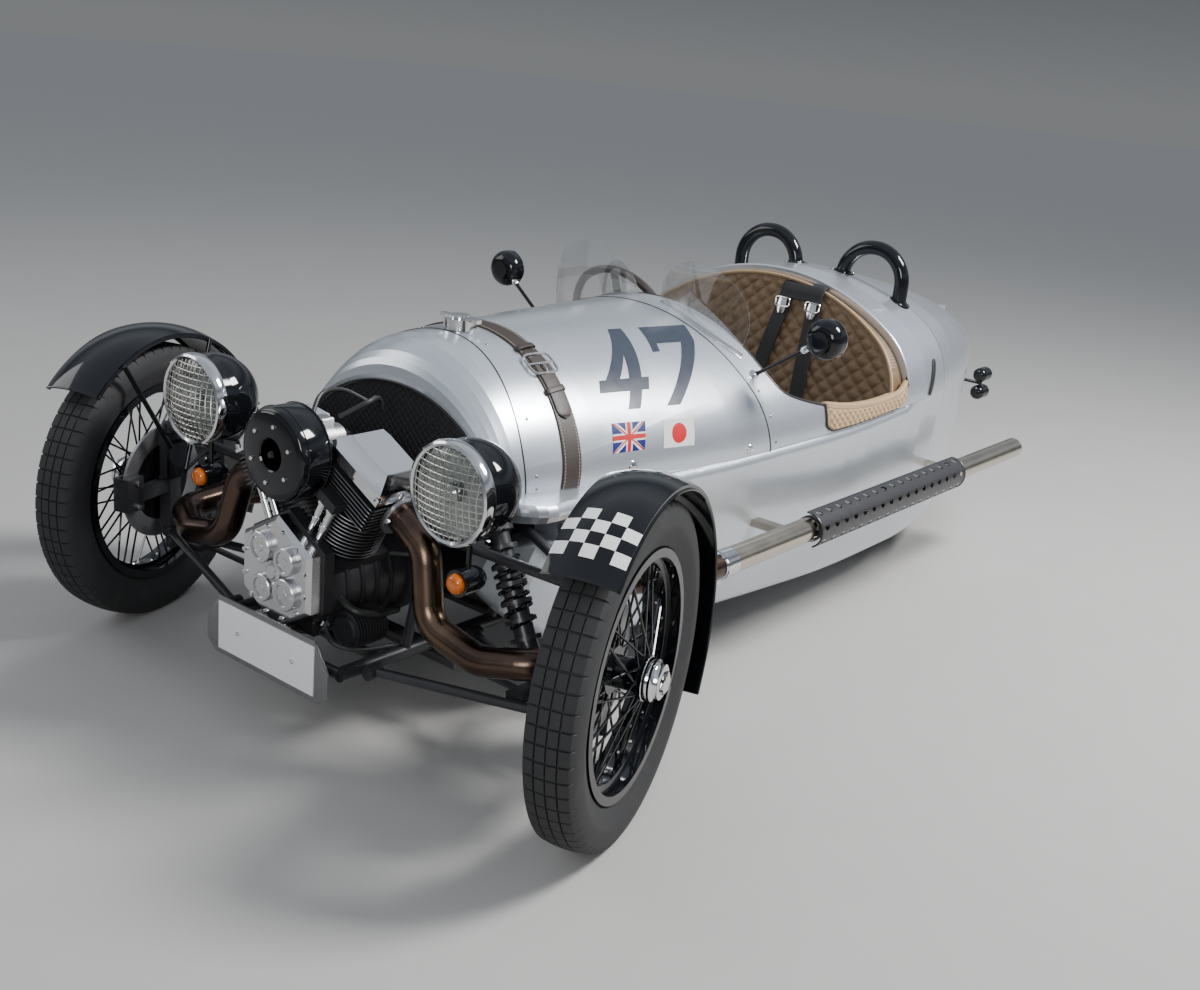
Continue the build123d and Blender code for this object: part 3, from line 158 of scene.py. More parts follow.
def finish(name, colour, roughness, grain, metal=0.0, coat=0.0, mottle=0.06, bump=0.0, wear=0.0,
           worn_colour=None, alpha=1.0, transmission=0.0, spread=0.08):
    """A surface whose colour, gloss and grain wander a little with noise on the object's own coordinates."""
    material = bpy.data.materials.new(name)
    material.use_nodes = True
    tree = material.node_tree
    dark = [channel * (1 - mottle) for channel in colour]
    light = [min(1.0, channel * (1 + mottle) + mottle * 0.01) for channel in colour]
    where = add_node(tree, "TexCoord", "Object", {}, {})
    noise = add_node(tree, "TexNoise", "Fac", {"Scale": grain, "Detail": 5.0}, {"Vector": where})
    shade = add_node(tree, "Mix", "Result", {"A": (*dark, 1), "B": (*light, 1)}, {"Factor": noise})
    if wear:
        blots = add_node(tree, "TexNoise", "Fac", {"Scale": grain * 0.3, "Detail": 8.0}, {"Vector": where})
        limits = {"From Min": 0.62 - wear * 0.2, "From Max": 0.72, "To Max": min(1.0, wear * 2)}
        edge = add_node(tree, "MapRange", "Result", limits, {"Value": blots})
        worn = {"B": (*(worn_colour or light), 1)}
        shade = add_node(tree, "Mix", "Result", worn, {"Factor": edge, "A": shade})
    limits = {"To Min": max(0.02, roughness - spread), "To Max": roughness + spread}
    gloss = add_node(tree, "MapRange", "Result", limits, {"Value": noise})
    sources = {"Base Color": shade, "Roughness": gloss}
    if bump:
        fine = add_node(tree, "TexNoise", "Fac", {"Scale": grain * 6}, {"Vector": where})
        sources["Normal"] = add_node(tree, "Bump", "Normal", {"Strength": bump, "Distance": 0.001},
                                     {"Height": fine})
    values = {"Metallic": metal, "Coat Weight": coat, "Coat Roughness": 0.06, "Alpha": alpha,
              "Transmission Weight": transmission}
    set_node(tree, tree.nodes["Principled BSDF"], values, sources)
    return material


# Colour, roughness and whatever else each finish has
LOOKS = {
    "silver_paint": ((0.63, 0.67, 0.72), 0.29, dict(metal=0.75, coat=0.6, grain=9, mottle=0.025,
                                                    spread=0.03)),
    "dark_steel": ((0.02, 0.02, 0.023), 0.42, dict(coat=0.2, grain=60, bump=0.15, wear=0.1,
                                                   worn_colour=(0.07, 0.065, 0.06))),
    "black_gloss": ((0.004, 0.0045, 0.006), 0.07, dict(grain=12, spread=0.02)),
    "chrome": ((0.78, 0.78, 0.79), 0.09, dict(metal=1.0, grain=18, mottle=0.04, spread=0.03)),
    "polished_alloy": ((0.62, 0.62, 0.63), 0.24, dict(metal=1.0, grain=40, bump=0.1)),
    "alloy": ((0.42, 0.42, 0.43), 0.45, dict(metal=1.0, grain=60, bump=0.25)),
    "black_alloy": ((0.022, 0.022, 0.024), 0.38, dict(metal=0.2, grain=70, bump=0.2, wear=0.08,
                                                      worn_colour=(0.09, 0.085, 0.08))),
    "steel_pipe": ((0.6, 0.54, 0.45), 0.2, dict(metal=1.0, grain=14, mottle=0.12)),
    "tyre_rubber": ((0.018, 0.018, 0.019), 0.72, dict(grain=50, mottle=0.25, bump=0.25, wear=0.15,
                                                      worn_colour=(0.05, 0.046, 0.042))),
    "tan_leather": ((0.4, 0.27, 0.15), 0.55, dict(grain=60, mottle=0.16, bump=0.35)),
    "brown_leather": ((0.035, 0.024, 0.02), 0.5, dict(grain=50, mottle=0.2, bump=0.4)),
    "clear": ((0.9, 0.94, 0.95), 0.04, dict(grain=4, mottle=0.01, transmission=1.0, alpha=0.35,
                                            spread=0.01)),
    "amber": ((0.6, 0.13, 0.004), 0.1, dict(coat=0.8, grain=90)),
    "black_plastic": ((0.018, 0.018, 0.018), 0.45, dict(grain=80, bump=0.3)),
    "white_plate": ((0.8, 0.8, 0.79), 0.3, dict(coat=0.4, grain=20, mottle=0.02)),
    "radiator_black": ((0.012, 0.012, 0.013), 0.55, dict(grain=90, bump=0.3)),
    "white_paint": ((0.75, 0.75, 0.74), 0.2, dict(coat=0.8, grain=20, mottle=0.02)),
    "lamp_glass": ((0.95, 0.97, 0.98), 0.03, dict(grain=4, mottle=0.01, transmission=1.0, spread=0.01)),
    "reflector": ((0.34, 0.36, 0.34), 0.16, dict(metal=1.0, grain=25, mottle=0.1)),
    "wire": ((0.62, 0.6, 0.55), 0.25, dict(metal=1.0, grain=60)),
    "burnt_pipe": ((0.1, 0.066, 0.052), 0.26, dict(metal=1.0, grain=14, mottle=0.35, bump=0.08, wear=0.3,
                                                   worn_colour=(0.3, 0.2, 0.12))),
    "quilt_leather": ((0.17, 0.105, 0.052), 0.5, dict(grain=60, mottle=0.22, bump=0.35)),
    "webbing": ((0.012, 0.012, 0.013), 0.6, dict(grain=240, mottle=0.3, bump=0.4)),
    "red_lens": ((0.35, 0.008, 0.008), 0.12, dict(coat=0.8, grain=80)),
    "thread": ((0.42, 0.36, 0.27), 0.7, dict(grain=300, mottle=0.2, bump=0.3)),
    "slate_paint": ((0.022, 0.03, 0.05), 0.3, dict(coat=0.5, grain=25, mottle=0.1)),
    "flag_blue": ((0.01, 0.016, 0.14), 0.3, dict(coat=0.5, grain=25)),
    "flag_red": ((0.55, 0.012, 0.016), 0.3, dict(coat=0.5, grain=25)),
    "rubbed_alloy": ((0.3, 0.3, 0.31), 0.35, dict(metal=1.0, grain=90, mottle=0.2)),
}
# Solids whose finish is a darker or duller kind of their slot's
OWN_FINISH = {"exhaust_headers": "burnt_pipe", "tail_lamps": "black_gloss"}


def make_finishes():
    """Makes every finish, and gives each solid the one of its slot or its own."""
    made = {name: finish(name, colour, roughness, **more)
            for name, (colour, roughness, more) in LOOKS.items()}
    for entry in frame["record"]["subparts"]:
        node = NODES[entry["node"]]
        node.data.materials.clear()
        node.data.materials.append(made[OWN_FINISH.get(entry["node"], entry["material_slot"])])
    return made


# Making a piece

def make(name, shape, surface, body="car", sharp=35, stands_for=(), keep_flat=False):
    """One piece from (points, faces), in metres: welded, its normals turned outwards, riding on its body."""
    points, faces = shape
    points = np.asarray(points, float).reshape(-1, 3) + (0, FRONT_AXLE_Y, 0)
    mesh = bpy.data.meshes.new(name)
    mesh.from_pydata(points.tolist(), [], faces)
    work = bmesh.new()
    work.from_mesh(mesh)
    bmesh.ops.remove_doubles(work, verts=work.verts, dist=2e-6)
    bmesh.ops.dissolve_degenerate(work, edges=work.edges, dist=1e-7)
    bmesh.ops.recalc_face_normals(work, faces=work.faces)
    work.to_mesh(mesh)
    work.free()
    if not keep_flat:
        mesh.shade_smooth()
        mesh.set_sharp_from_angle(angle=math.radians(sharp))
    piece = bpy.data.objects.new(name, mesh)
    bpy.context.scene.collection.objects.link(piece)
    mesh.materials.append(FINISHES[surface])
    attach(piece, body)
    if stands_for:
        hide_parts(*stands_for)
    return piece


def join(*shapes):
    """Several shapes as one."""
    points, faces, count = [], [], 0
    for corners, sides in shapes:
        points.append(np.asarray(corners, float).reshape(-1, 3))
        faces += [tuple(int(i) + count for i in side) for side in sides]
        count += len(points[-1])
    return np.concatenate(points), faces


def mirrored(shape):
    """The shape on the car's other side."""
    return np.asarray(shape[0], float).reshape(-1, 3) * (-1, 1, 1), shape[1]


def both(shape):
    """The shape and its mirror image."""
    return join(shape, mirrored(shape))


def grid(points, close_rows=False, close_columns=False):
    """Surface through an array of points, rows by columns."""
    points = np.asarray(points, float)
    return points.reshape(-1, 3), grid_faces(*points.shape[:2], close_rows, close_columns)


def swept(points):
    """A closed section carried along, one row of points for each place, with flat ends."""
    rows, columns = points.shape[:2]
    ends = [tuple(range(columns)), tuple(range((rows - 1) * columns, rows * columns))]
    return points.reshape(-1, 3), grid_faces(rows, columns, False, True) + ends


def unit(vectors):
    """Each vector brought to length one."""
    return vectors / np.linalg.norm(vectors, axis=-1, keepdims=True)


def turns(count):
    """Angles evenly round a circle."""
    return np.linspace(0, TAU, count, endpoint=False)


def circle(turn, u, v):
    """Points at the given angles on the unit circle of two directions."""
    return np.cos(turn)[..., None] * u + np.sin(turn)[..., None] * v


def upright_ring(centre, radius, turn):
    """Points on a circle that faces along the car, at angles counted from the left side upwards."""
    return centre + radius * circle(turn, (1, 0, 0), (0, 0, 1))


def squared_circle(width, height, power, count):
    """X and y round a squared circle: cosine and sine keep their signs and are raised to the power."""
    places = circle(turns(count), (1, 0), (0, 1))
    return (np.sign(places) * np.abs(places) ** power * (width, height)).T


def basis(axis):
    """Two unit vectors square to the axis, and the axis itself."""
    axis = unit(np.asarray(axis, float))
    helper = (0, 0, 1) if abs(axis[2]) < 0.9 else (1, 0, 0)
    across = unit(np.cross(helper, axis))
    return across, np.cross(axis, across), axis


def lathe(outline, centre, axis, steps, closed=False):
    """Outline of (radius, distance along the axis) turned about the axis; its ends close at no radius."""
    radius, along = np.asarray(outline, float).T
    u, v, w = basis(axis)
    ring = circle(turns(steps), u, v)
    points = np.asarray(centre) + radius[:, None, None] * ring + along[:, None, None] * w
    return points.reshape(-1, 3), grid_faces(len(radius), steps, closed, True)


def ring_lathe(outline, centre, axis, steps):
    """A closed outline turned about the axis, such as a rim or bead."""
    return lathe(outline, centre, axis, steps, True)


def tube(path, radius, sides, closed=False, up=(0, 0, 1)):
    """Round section carried along a path; up is any direction that the path never follows."""
    path = np.asarray(path, float)
    run = unit(np.roll(path, -1, 0) - np.roll(path, 1, 0) if closed else np.gradient(path, axis=0))
    side = unit(np.cross(run, up))
    over = np.cross(side, run)
    size = np.broadcast_to(np.asarray(radius, float), (len(path),))[:, None, None]
    points = path[:, None] + size * circle(turns(sides), side[:, None], over[:, None])
    return grid(points, True, True) if closed else swept(points)


def ribbon(path, width, thick, face_up):
    """Flat strap: a thin rounded section along a path, its width square to face_up, given at each point."""
    path = np.asarray(path, float)
    run = unit(np.gradient(path, axis=0))
    side = unit(np.cross(run, face_up))
    over = np.cross(side, run)
    outline = np.array([(-0.5, 0), (-0.47, 0.8), (-0.4, 1), (0.4, 1), (0.47, 0.8), (0.5, 0), (0.45, -0.05),
                        (-0.45, -0.05)])
    breadth = np.broadcast_to(np.asarray(width, float), (len(path),))[:, None, None]
    return swept(path[:, None] + outline[:, :1] * breadth * side[:, None]
                 + outline[:, 1:] * thick * over[:, None])


def smooth_path(points, steps):
    """Catmull-Rom curve through the points."""
    p = np.asarray(points, float)
    p = np.concatenate([2 * p[:1] - p[1:2], p, 2 * p[-1:] - p[-2:-1]])
    t = np.linspace(0, 1, steps, endpoint=False)[:, None, None]
    a, b, c, d = p[:-3], p[1:-2], p[2:-1], p[3:]
    curve = 0.5 * (2 * b + (c - a) * t + (2 * a - 5 * b + 4 * c - d) * t ** 2
                   + (3 * b - a - 3 * c + d) * t ** 3)
    return np.concatenate([curve.transpose(1, 0, 2).reshape(-1, 3), p[-2:-1]])


def hull(points):
    """The closed skin round a handful of points, for a block with bevelled corners."""
    work = bmesh.new()
    for point in np.asarray(points, float).reshape(-1, 3):
        work.verts.new(point)
    found = bmesh.ops.convex_hull(work, input=work.verts)
    spare = [item for item in found["geom_interior"] if isinstance(item, bmesh.types.BMVert)]
    bmesh.ops.delete(work, geom=spare, context="VERTS")
    bmesh.ops.dissolve_limit(work, angle_limit=0.01, verts=work.verts, edges=work.edges)
    work.verts.index_update()
    corners = [tuple(vert.co) for vert in work.verts]
    faces = [tuple(vert.index for vert in face.verts) for face in work.faces]
    work.free()
    return corners, faces


def brick(low, high, edge):
    """Box with bevelled edges between two corners."""
    low, high = np.asarray(low, float), np.asarray(high, float)
    corners = np.array(np.meshgrid([0, 1], [0, 1], [0, 1])).reshape(3, -1).T
    inward = np.where(corners == 0, edge, -edge)
    base = low + corners * (high - low)
    points = [base + inward * mask for mask in ((0, 1, 1), (1, 0, 1), (1, 1, 0))]
    return hull(np.concatenate(points))


def cap_screws(places, axis, radius, height):
    """Round screw heads with a hexagon socket, one at each place, standing along the axis."""
    outline = [(0, height * 0.35), (radius * 0.5, height * 0.35), (radius * 0.52, height),
               (radius * 0.9, height), (radius, height * 0.85), (radius, -height * 0.4), (0, -height * 0.4)]
    return join(*[lathe(outline, place, axis, 12) for place in places])


def hexagons(places, axis, radius=0.007, height=0.006):
    """Hexagon bolt heads with a chamfered top."""
    outline = [(0, height), (radius * 0.85, height), (radius, height * 0.8), (radius, -height * 0.4),
               (0, -height * 0.4)]
    return join(*[lathe(outline, place, axis, 6) for place in places])


# The body's surface, worked out as the solids are
# Columns: y from the front axle, half width at the shoulder, foot of the arch, crown, corner radius
MEASURED = np.array((
    (0.11, 0.303, 0.557, 0.822, 0.18),
    (0.2, 0.321, 0.553, 0.836, 0.18),
    (0.42, 0.358, 0.545, 0.848, 0.2),
    (0.99, 0.44, 0.545, 0.859, 0.225),
    (1.44, 0.485, 0.57, 0.885, 0.24),
    (1.78, 0.485, 0.588, 0.904, 0.24),
    (2.2, 0.404, 0.6, 0.842, 0.19),
    (2.5, 0.297, 0.59, 0.776, 0.14),
    (2.72, 0.192, 0.58, 0.712, 0.09),
    (2.84, 0.112, 0.59, 0.672, 0.05),
    (2.88, 0.06, 0.6, 0.648, 0.026),
))
STATIONS = np.concatenate(
    [[0.11, 0.114, 0.122, 0.134, 0.15, 0.172]]
    + [np.linspace(MEASURED[row, 0], MEASURED[row + 1, 0], steps, endpoint=False)
       for row, steps in zip(range(1, 10), (2, 4, 4, 3, 3, 3, 2, 3, 2))] + [[2.88]])


def body_sections():
    """The table at every station, on cubic curves.

    The slope at a row is the harmonic mean of the steps beside it. Over its first 90 mm the nose is drawn in
    by 1 - sqrt(1 - u^2), u falling from 1 to 0.
    """
    steps = np.diff(MEASURED, axis=0) / np.diff(MEASURED[:, 0])[:, None]
    turn = steps[:-1] * steps[1:]
    slope = np.concatenate([steps[:1],
                            np.where(turn > 0, 2 * turn / np.where(turn > 0, steps[:-1] + steps[1:], 1), 0),
                            steps[-1:]])
    row = np.clip(np.searchsorted(MEASURED[:, 0], STATIONS + 1e-9) - 1, 0, len(MEASURED) - 2)
    gap = (MEASURED[row + 1, 0] - MEASURED[row, 0])[:, None]
    t = (STATIONS[:, None] - MEASURED[row, :1]) / gap
    found = (2 * t ** 3 - 3 * t ** 2 + 1) * MEASURED[row] + (t ** 3 - 2 * t ** 2 + t) * gap * slope[row] \
        + (3 * t ** 2 - 2 * t ** 3) * MEASURED[row + 1] + (t ** 3 - t ** 2) * gap * slope[row + 1]
    nose, depth, drawn_in = 0.11, 0.09, (0, 0.008, 0, 0.072, 0.05)
    left = np.clip(1 - (STATIONS - nose) / depth, 0, 1)
    return found - (1 - np.sqrt(1 - left ** 2))[:, None] * drawn_in


SECTIONS = body_sections()


def arch_at(section, s):
    """X and Z on one section's three-centred arch; s runs 0 to 3 from the left foot over the crown."""
    _, half, foot, crown, corner = section
    flat, rise = half - corner, crown - foot
    radius = (flat * flat + rise * rise - corner * corner) / (2 * (rise - corner))
    centre = crown - radius
    lift = math.atan2(foot - centre, flat)
    t = np.where(s > 1.5, 3 - s, s)
    low = lift * np.clip(t, 0, 1)
    high = lift + (math.pi / 2 - lift) * np.clip((t - 1) / 0.5, 0, 1)
    x = np.where(t < 1, flat + corner * np.cos(low), radius * np.cos(high))
    z = np.where(t < 1, foot + corner * np.sin(low), centre + radius * np.sin(high))
    return np.stack([np.where(s > 1.5, -x, x), z], -1)


def skin_point(y, s):
    """Point of the upper body at y and s, on a straight line between the arches before and behind it."""
    y, s = np.broadcast_arrays(np.asarray(y, float), np.asarray(s, float))
    arches = np.array([arch_at(section, s) for section in SECTIONS])
    first = np.clip(np.searchsorted(SECTIONS[:, 0], y) - 1, 0, len(SECTIONS) - 2)
    share = ((y - SECTIONS[first, 0]) / (SECTIONS[first + 1, 0] - SECTIONS[first, 0]))[..., None]
    place = tuple(np.indices(y.shape))
    flat = arches[(first,) + place] * (1 - share) + arches[(first + 1,) + place] * share
    return np.stack([flat[..., 0], y, flat[..., 1]], -1)


def on_skin(y, s, lift=0.0):
    """Point of the upper body's outer face, lifted square off it."""
    y, s, step = np.asarray(y), np.asarray(s), 0.002
    along = skin_point(y + step, s) - skin_point(y - step, s)
    round_it = skin_point(y, s + step) - skin_point(y, s - step)
    return skin_point(y, s) + np.asarray(lift)[..., None] * unit(np.cross(along, round_it))


def shoulder_height(y):
    """Height of the shoulder line: a shallow arc of a circle in front, then a straight rise to the tail."""
    lowest, half, rise, foot = 0.675, 0.225, 0.022, 0.543
    end = lowest + half
    y = np.asarray(y, float)
    centre = (lowest ** 2 - half ** 2 + rise ** 2) / (2 * rise)
    arc = foot + centre - np.sqrt(half ** 2 + centre ** 2 - (np.minimum(y, end) - lowest) ** 2)
    return np.where(y < end, arc, foot + (y - end) / 2.05 * 0.109)


# Places on the wheels, which stand turned at rest

KINGPIN_X = 0.6795
STEER = math.radians(17)
KINGPIN_TO_WHEEL = 0.065
WHEEL_R = 0.345


def at_wheel(shape, side):
    """Moves a shape from the wheel's own centre, x outwards, to its place; side is 1 on the left, else -1."""
    points = np.asarray(shape[0], float).reshape(-1, 3)
    x, y = side * (points[:, 0] + KINGPIN_TO_WHEEL), points[:, 1]
    c, s = math.cos(STEER), math.sin(STEER)
    placed = np.stack([side * KINGPIN_X + c * x - s * y, s * x + c * y, points[:, 2] + WHEEL_R], -1)
    return placed, shape[1]


# Tyres

def tread_tyre(radius, width, rim_r, rim_w, share, ribs, pitches, groove, depth, stagger):
    """Tyre about the X axis: a profile of walls and ribs turned round, with cross cuts sunk into the ribs.

    Every other rib's cuts are shifted along by the stagger, a share of a pitch. The cuts run out over the
    shoulders.
    """
    tread, wall = width * share / 2, width / 2
    bead, bed = rim_w / 2 - 0.0074, rim_r - 0.0127
    middle = rim_r + (radius - rim_r) * 0.48
    edge = radius - 0.005
    t = np.linspace(0, 1, 9)
    knee = np.array((wall * 1.01, (middle + edge) / 2 + 0.006))
    side = np.outer((1 - t) ** 2, (wall, middle)) + np.outer(2 * t * (1 - t), knee) \
        + np.outer(t ** 2, (tread, edge))
    low = np.array([(bead, bed), (bead, rim_r + 0.001), (bead + 0.004, rim_r + 0.004),
                    (wall - 0.006, middle - 0.018), (wall - 0.001, middle - 0.006)])
    rise = [(x, r, 0.0, 0.0) for x, r in low] + [(x, r, 0.0, 0.0) for x, r in side[:-3]]
    rise += [(side[-3][0], side[-3][1], 0.5, 0.0), (side[-2][0], side[-2][1], 0.9, 0.0)]
    bounds = np.linspace(tread, -tread, ribs + 1)
    top = []
    for index in range(ribs):
        start = bounds[index] - (groove / 2 if index else 0)
        end = bounds[index + 1] + (groove / 2 if index < ribs - 1 else 0)
        shift = stagger * (index % 2)
        for x in (start, (start + end) / 2, end):
            top.append((x, radius - 0.005 * (x / tread) ** 2, 1.0, shift))
        if index < ribs - 1:
            for x, step in ((end - groove * 0.15, shift), (end - groove * 0.85, stagger - shift)):
                top.append((x, radius - 0.005 * (x / tread) ** 2 - depth, 0.0, step))
    fall = [(-x, r, cut, stagger * ((ribs - 1) % 2)) for x, r, cut, _ in reversed(rise)]
    x, r, cut, shift = np.array(rise + top + fall).T
    pitch = TAU / pitches
    base = np.array((0.0, 0.085, 0.115, 0.54, 0.97))
    sunk = np.array((1.0, 1.0, 0.0, 0.0, 0.0))
    angle = (np.arange(pitches)[:, None] + base).reshape(-1)[:, None] * pitch + shift * pitch
    reach = r - np.tile(sunk, pitches)[:, None] * cut * depth * 0.85
    points = np.stack([np.broadcast_to(x, reach.shape), reach * np.cos(angle), reach * np.sin(angle)], -1)
    return points.reshape(-1, 3), grid_faces(*reach.shape, True, True)


def front_tyre():
    return tread_tyre(WHEEL_R, 0.106, 0.25, 0.084, 0.82, 4, 64, 0.0036, 0.0048, 0.0)


def rear_tyre():
    points, faces = tread_tyre(REAR_WHEEL_R, 0.188, 0.205, 0.168, 0.84, 7, 78, 0.006, 0.005, 0.5)
    return points + (0, WHEELBASE, REAR_WHEEL_R), faces


def add_tyres():
    for side, name in ((1, "left"), (-1, "right")):
        make(f"tread_{name}", at_wheel(front_tyre(), side), "tyre_rubber", f"wheel_{name}", 28,
             (f"tyre_{name}",))
    make("tread_rear", rear_tyre(), "tyre_rubber", "wheel_rear", 28, ("tyre_rear",))


# Wheels and wings

CALIPER_FACE = -0.061
WING_R, WING_CROWN_R, WING_HALF = 0.392, 0.187, 0.071
WING_START, WING_END = 46, 207


def knock_off_cap():
    """Domed spinner cap with a hexagon on top, over the hub's end."""
    outline = [(0.0428, 0.0576), (0.0432, 0.066), (0.0405, 0.0742), (0.037, 0.0765), (0.0352, 0.08),
               (0.0347, 0.0886), (0.031, 0.0905), (0.027, 0.0912)]
    cap = lathe(outline + [(0, 0.0912)], (0, 0, 0), (1, 0, 0), 48)
    top = lathe([(0, 0.0975), (0.02, 0.0975), (0.0232, 0.0955), (0.0232, 0.09), (0, 0.09)], (0, 0, 0),
                (1, 0, 0), 6)
    bead = ring_lathe(bead_outline(0.043, 0.0585, 0.0012), (0, 0, 0), (1, 0, 0), 48)
    return join(cap, top, bead)


def bead_outline(radius, along, size):
    """Small circle as the outline of a bead."""
    return (radius, along) + size * circle(turns(8), (1, 0), (0, 1))


def brake_disc():
    """Ring over both faces of the disc, thinner towards the hub."""
    faces = [(0.141, -0.0407), (0.141, -0.0333), (0.098, -0.0333), (0.096, -0.0345), (0.07, -0.0345),
             (0.07, -0.0395), (0.096, -0.0395), (0.098, -0.0407)]
    return ring_lathe(faces, (0, 0, 0), (1, 0, 0), 72)


def spoke_nipples():
    """Forty small cones where the spokes meet the rim's bed."""
    outline = [(0, 0.0), (0.0036, 0.0), (0.0042, 0.008), (0, 0.008)]
    cones = []
    for index, out in enumerate(circle(turns(40), (0, 1, 0), (0, 0, 1))):
        x = 0.006 if index % 2 else -0.006
        cones.append(lathe(outline, (x, 0, 0) + out * 0.2185, out, 6))
    return join(*cones)


def wing_radius(x):
    """The wing's crowned section is one arc across its width."""
    return WING_R - WING_CROWN_R + np.sqrt(WING_CROWN_R ** 2 - x * x)


def wing_point(x, degrees, lift):
    """Point on the wing across it at x and round the wheel by degrees, from the front."""
    angle = np.radians(degrees)
    r = wing_radius(x) + lift
    return np.stack(np.broadcast_arrays(x, -r * np.cos(angle), r * np.sin(angle)), -1)


def wing_beads():
    """Rolled wire edges along both sides of the wing, and across its two ends."""
    angle = np.radians(np.linspace(WING_START, WING_END, 70))
    edges = []
    for x in (-WING_HALF, WING_HALF):
        r = WING_R - 0.023
        path = np.stack([np.full_like(angle, x), -r * np.cos(angle), r * np.sin(angle)], -1)
        edges.append(tube(path, 0.0032, 8, up=(1, 0, 0)))
    across = np.linspace(-WING_HALF, WING_HALF, 16)
    for degrees in (WING_START, WING_END):
        edges.append(tube(wing_point(across, degrees, -0.002), 0.0028, 8, up=(0, 0.3, 1)))
    return join(*edges)


def chequers():
    """White squares of the chequered band, each a small curved patch just above the paint."""
    rows, columns, start = 4, 5, 52.0
    size = 2 * WING_HALF / columns
    step = math.degrees(size / 0.39)
    squares = []
    for row in range(rows):
        for column in range(columns):
            if (row + column) % 2:
                continue
            x = np.linspace(column * size - WING_HALF, (column + 1) * size - WING_HALF, 5)
            degrees = np.linspace(start + row * step, start + (row + 1) * step, 5)
            squares.append(grid(wing_point(x[None, :], degrees[:, None], 0.0006)))
    return join(*squares)


def add_wheels_and_wings():
    for side, name in ((1, "left"), (-1, "right")):
        wheel, knuckle = f"wheel_{name}", f"steer_{name}"
        make(f"knock_off_{name}", at_wheel(knock_off_cap(), side), "chrome", wheel)
        make(f"disc_{name}", at_wheel(brake_disc(), side), "alloy", wheel)
        make(f"nipples_{name}", at_wheel(spoke_nipples(), side), "chrome", wheel)
        make(f"wing_bead_{name}", at_wheel(wing_beads(), side), "black_gloss", knuckle)
        places = [(CALIPER_FACE - 0.004, y, z) for y, z in ((-0.12, -0.03), (-0.12, 0.03))]
        make(f"caliper_bolts_{name}", at_wheel(hexagons(places, (-1, 0, 0)), side), "chrome", knuckle)
    make("chequered_band", at_wheel(chequers(), 1), "white_paint", "steer_left")


# Lamps

LAMP_AT = (0.407, -0.121, 0.639)
GLASS_R = 0.0925


def lamp_rim():
    """Chrome ring that holds the glass."""
    outline = [(0.0925, -0.0065), (0.0935, -0.0125), (0.0985, -0.0148), (0.1035, -0.0125), (0.1062, -0.006),
               (0.1062, 0.006), (0.1048, 0.0125), (0.1015, 0.0148), (0.1002, 0.0142), (0.1002, 0.0),
               (0.0925, 0.0)]
    return ring_lathe(outline, LAMP_AT, (0, 1, 0), 72)


def lamp_glass():
    """Domed front glass with an inner face, closed at its edge."""
    t = np.linspace(0, 1, 14)
    dome = np.stack([0.092 * t, -0.026 + 0.022 * t ** 2], -1)
    inner = np.stack([0.0905 * t[::-1], -0.0225 + 0.0205 * t[::-1] ** 2], -1)
    return lathe(np.concatenate([dome, inner]), LAMP_AT, (0, 1, 0), 60)


def lamp_reflector():
    """Shallow bright bowl behind the glass, with the bulb's shield in the middle."""
    t = np.linspace(0, 1, 12)
    bowl = np.stack([0.0922 * t, 0.0096 - 0.0106 * t ** 2], -1)
    shield = [(0, -0.012), (0.014, -0.011), (0.019, -0.006), (0.02, 0.0), (0.018, 0.0085), (0, 0.0085)]
    back = [(0.0922, 0.0004), (0, 0.0098)]
    return join(lathe(np.concatenate([bowl, back]), LAMP_AT, (0, 1, 0), 60),
                lathe(shield, LAMP_AT, (0, 1, 0), 24))


def stone_guard():
    """Square mesh of wires bowed over the glass, each wire a parabola between two points of the rim."""
    pitch, wire = 0.0136, 0.0011
    wires = []
    for place in np.arange(-6, 7) * pitch:
        half = math.sqrt(GLASS_R ** 2 - place ** 2)
        t = np.linspace(-half, half, 14)
        depth = -0.0325 + 0.021 * (t ** 2 + place ** 2) / GLASS_R ** 2
        for flat, up in ((np.stack([t, depth, np.full_like(t, place)], -1), (0, 0, 1)),
                         (np.stack([np.full_like(t, place), depth - 0.0009, t], -1), (1, 0, 0))):
            wires.append(tube(flat + LAMP_AT, wire, 5, up=up))
    return join(*wires)


def indicator():
    """Black bullet body with a domed amber lens at its front."""
    body = [(0, 0.043), (0.01, 0.0415), (0.02, 0.035), (0.0262, 0.024), (0.0282, 0.008), (0.0282, -0.03),
            (0, -0.03)]
    lens = [(0, -0.0465), (0.01, -0.0455), (0.0165, -0.0425), (0.0205, -0.0375), (0.0218, -0.0295),
            (0, -0.0295)]
    centre = (0.415, -0.0707, 0.45)
    return lathe(body, centre, (0, 1, 0), 36), lathe(lens, centre, (0, 1, 0), 36)


def prism(outline, y0, y1):
    """Block between two planes across the car, from an outline of (x, z) corners."""
    return swept(np.array([[(x, y, z) for x, z in outline] for y in (y0, y1)]))


def plate_bracket():
    """Bare metal bracket behind the front plate, 0.4 mm proud of the solid all round, with its two arms."""
    half, low, high = 0.2004, 0.1376, 0.2744
    outline = [(-half, low + 0.024), (-half + 0.03, low), (half - 0.03, low), (half, low + 0.024),
               (half, high - 0.06), (half - 0.044, high), (-half + 0.044, high), (-half, high - 0.06)]
    arms = [brick((x - 0.0154, -0.2308, 0.1926), (x + 0.0154, -0.2134, 0.2174), 0.001) for x in (-0.11, 0.11)]
    return join(prism(outline, -0.23395, -0.2302), *arms)


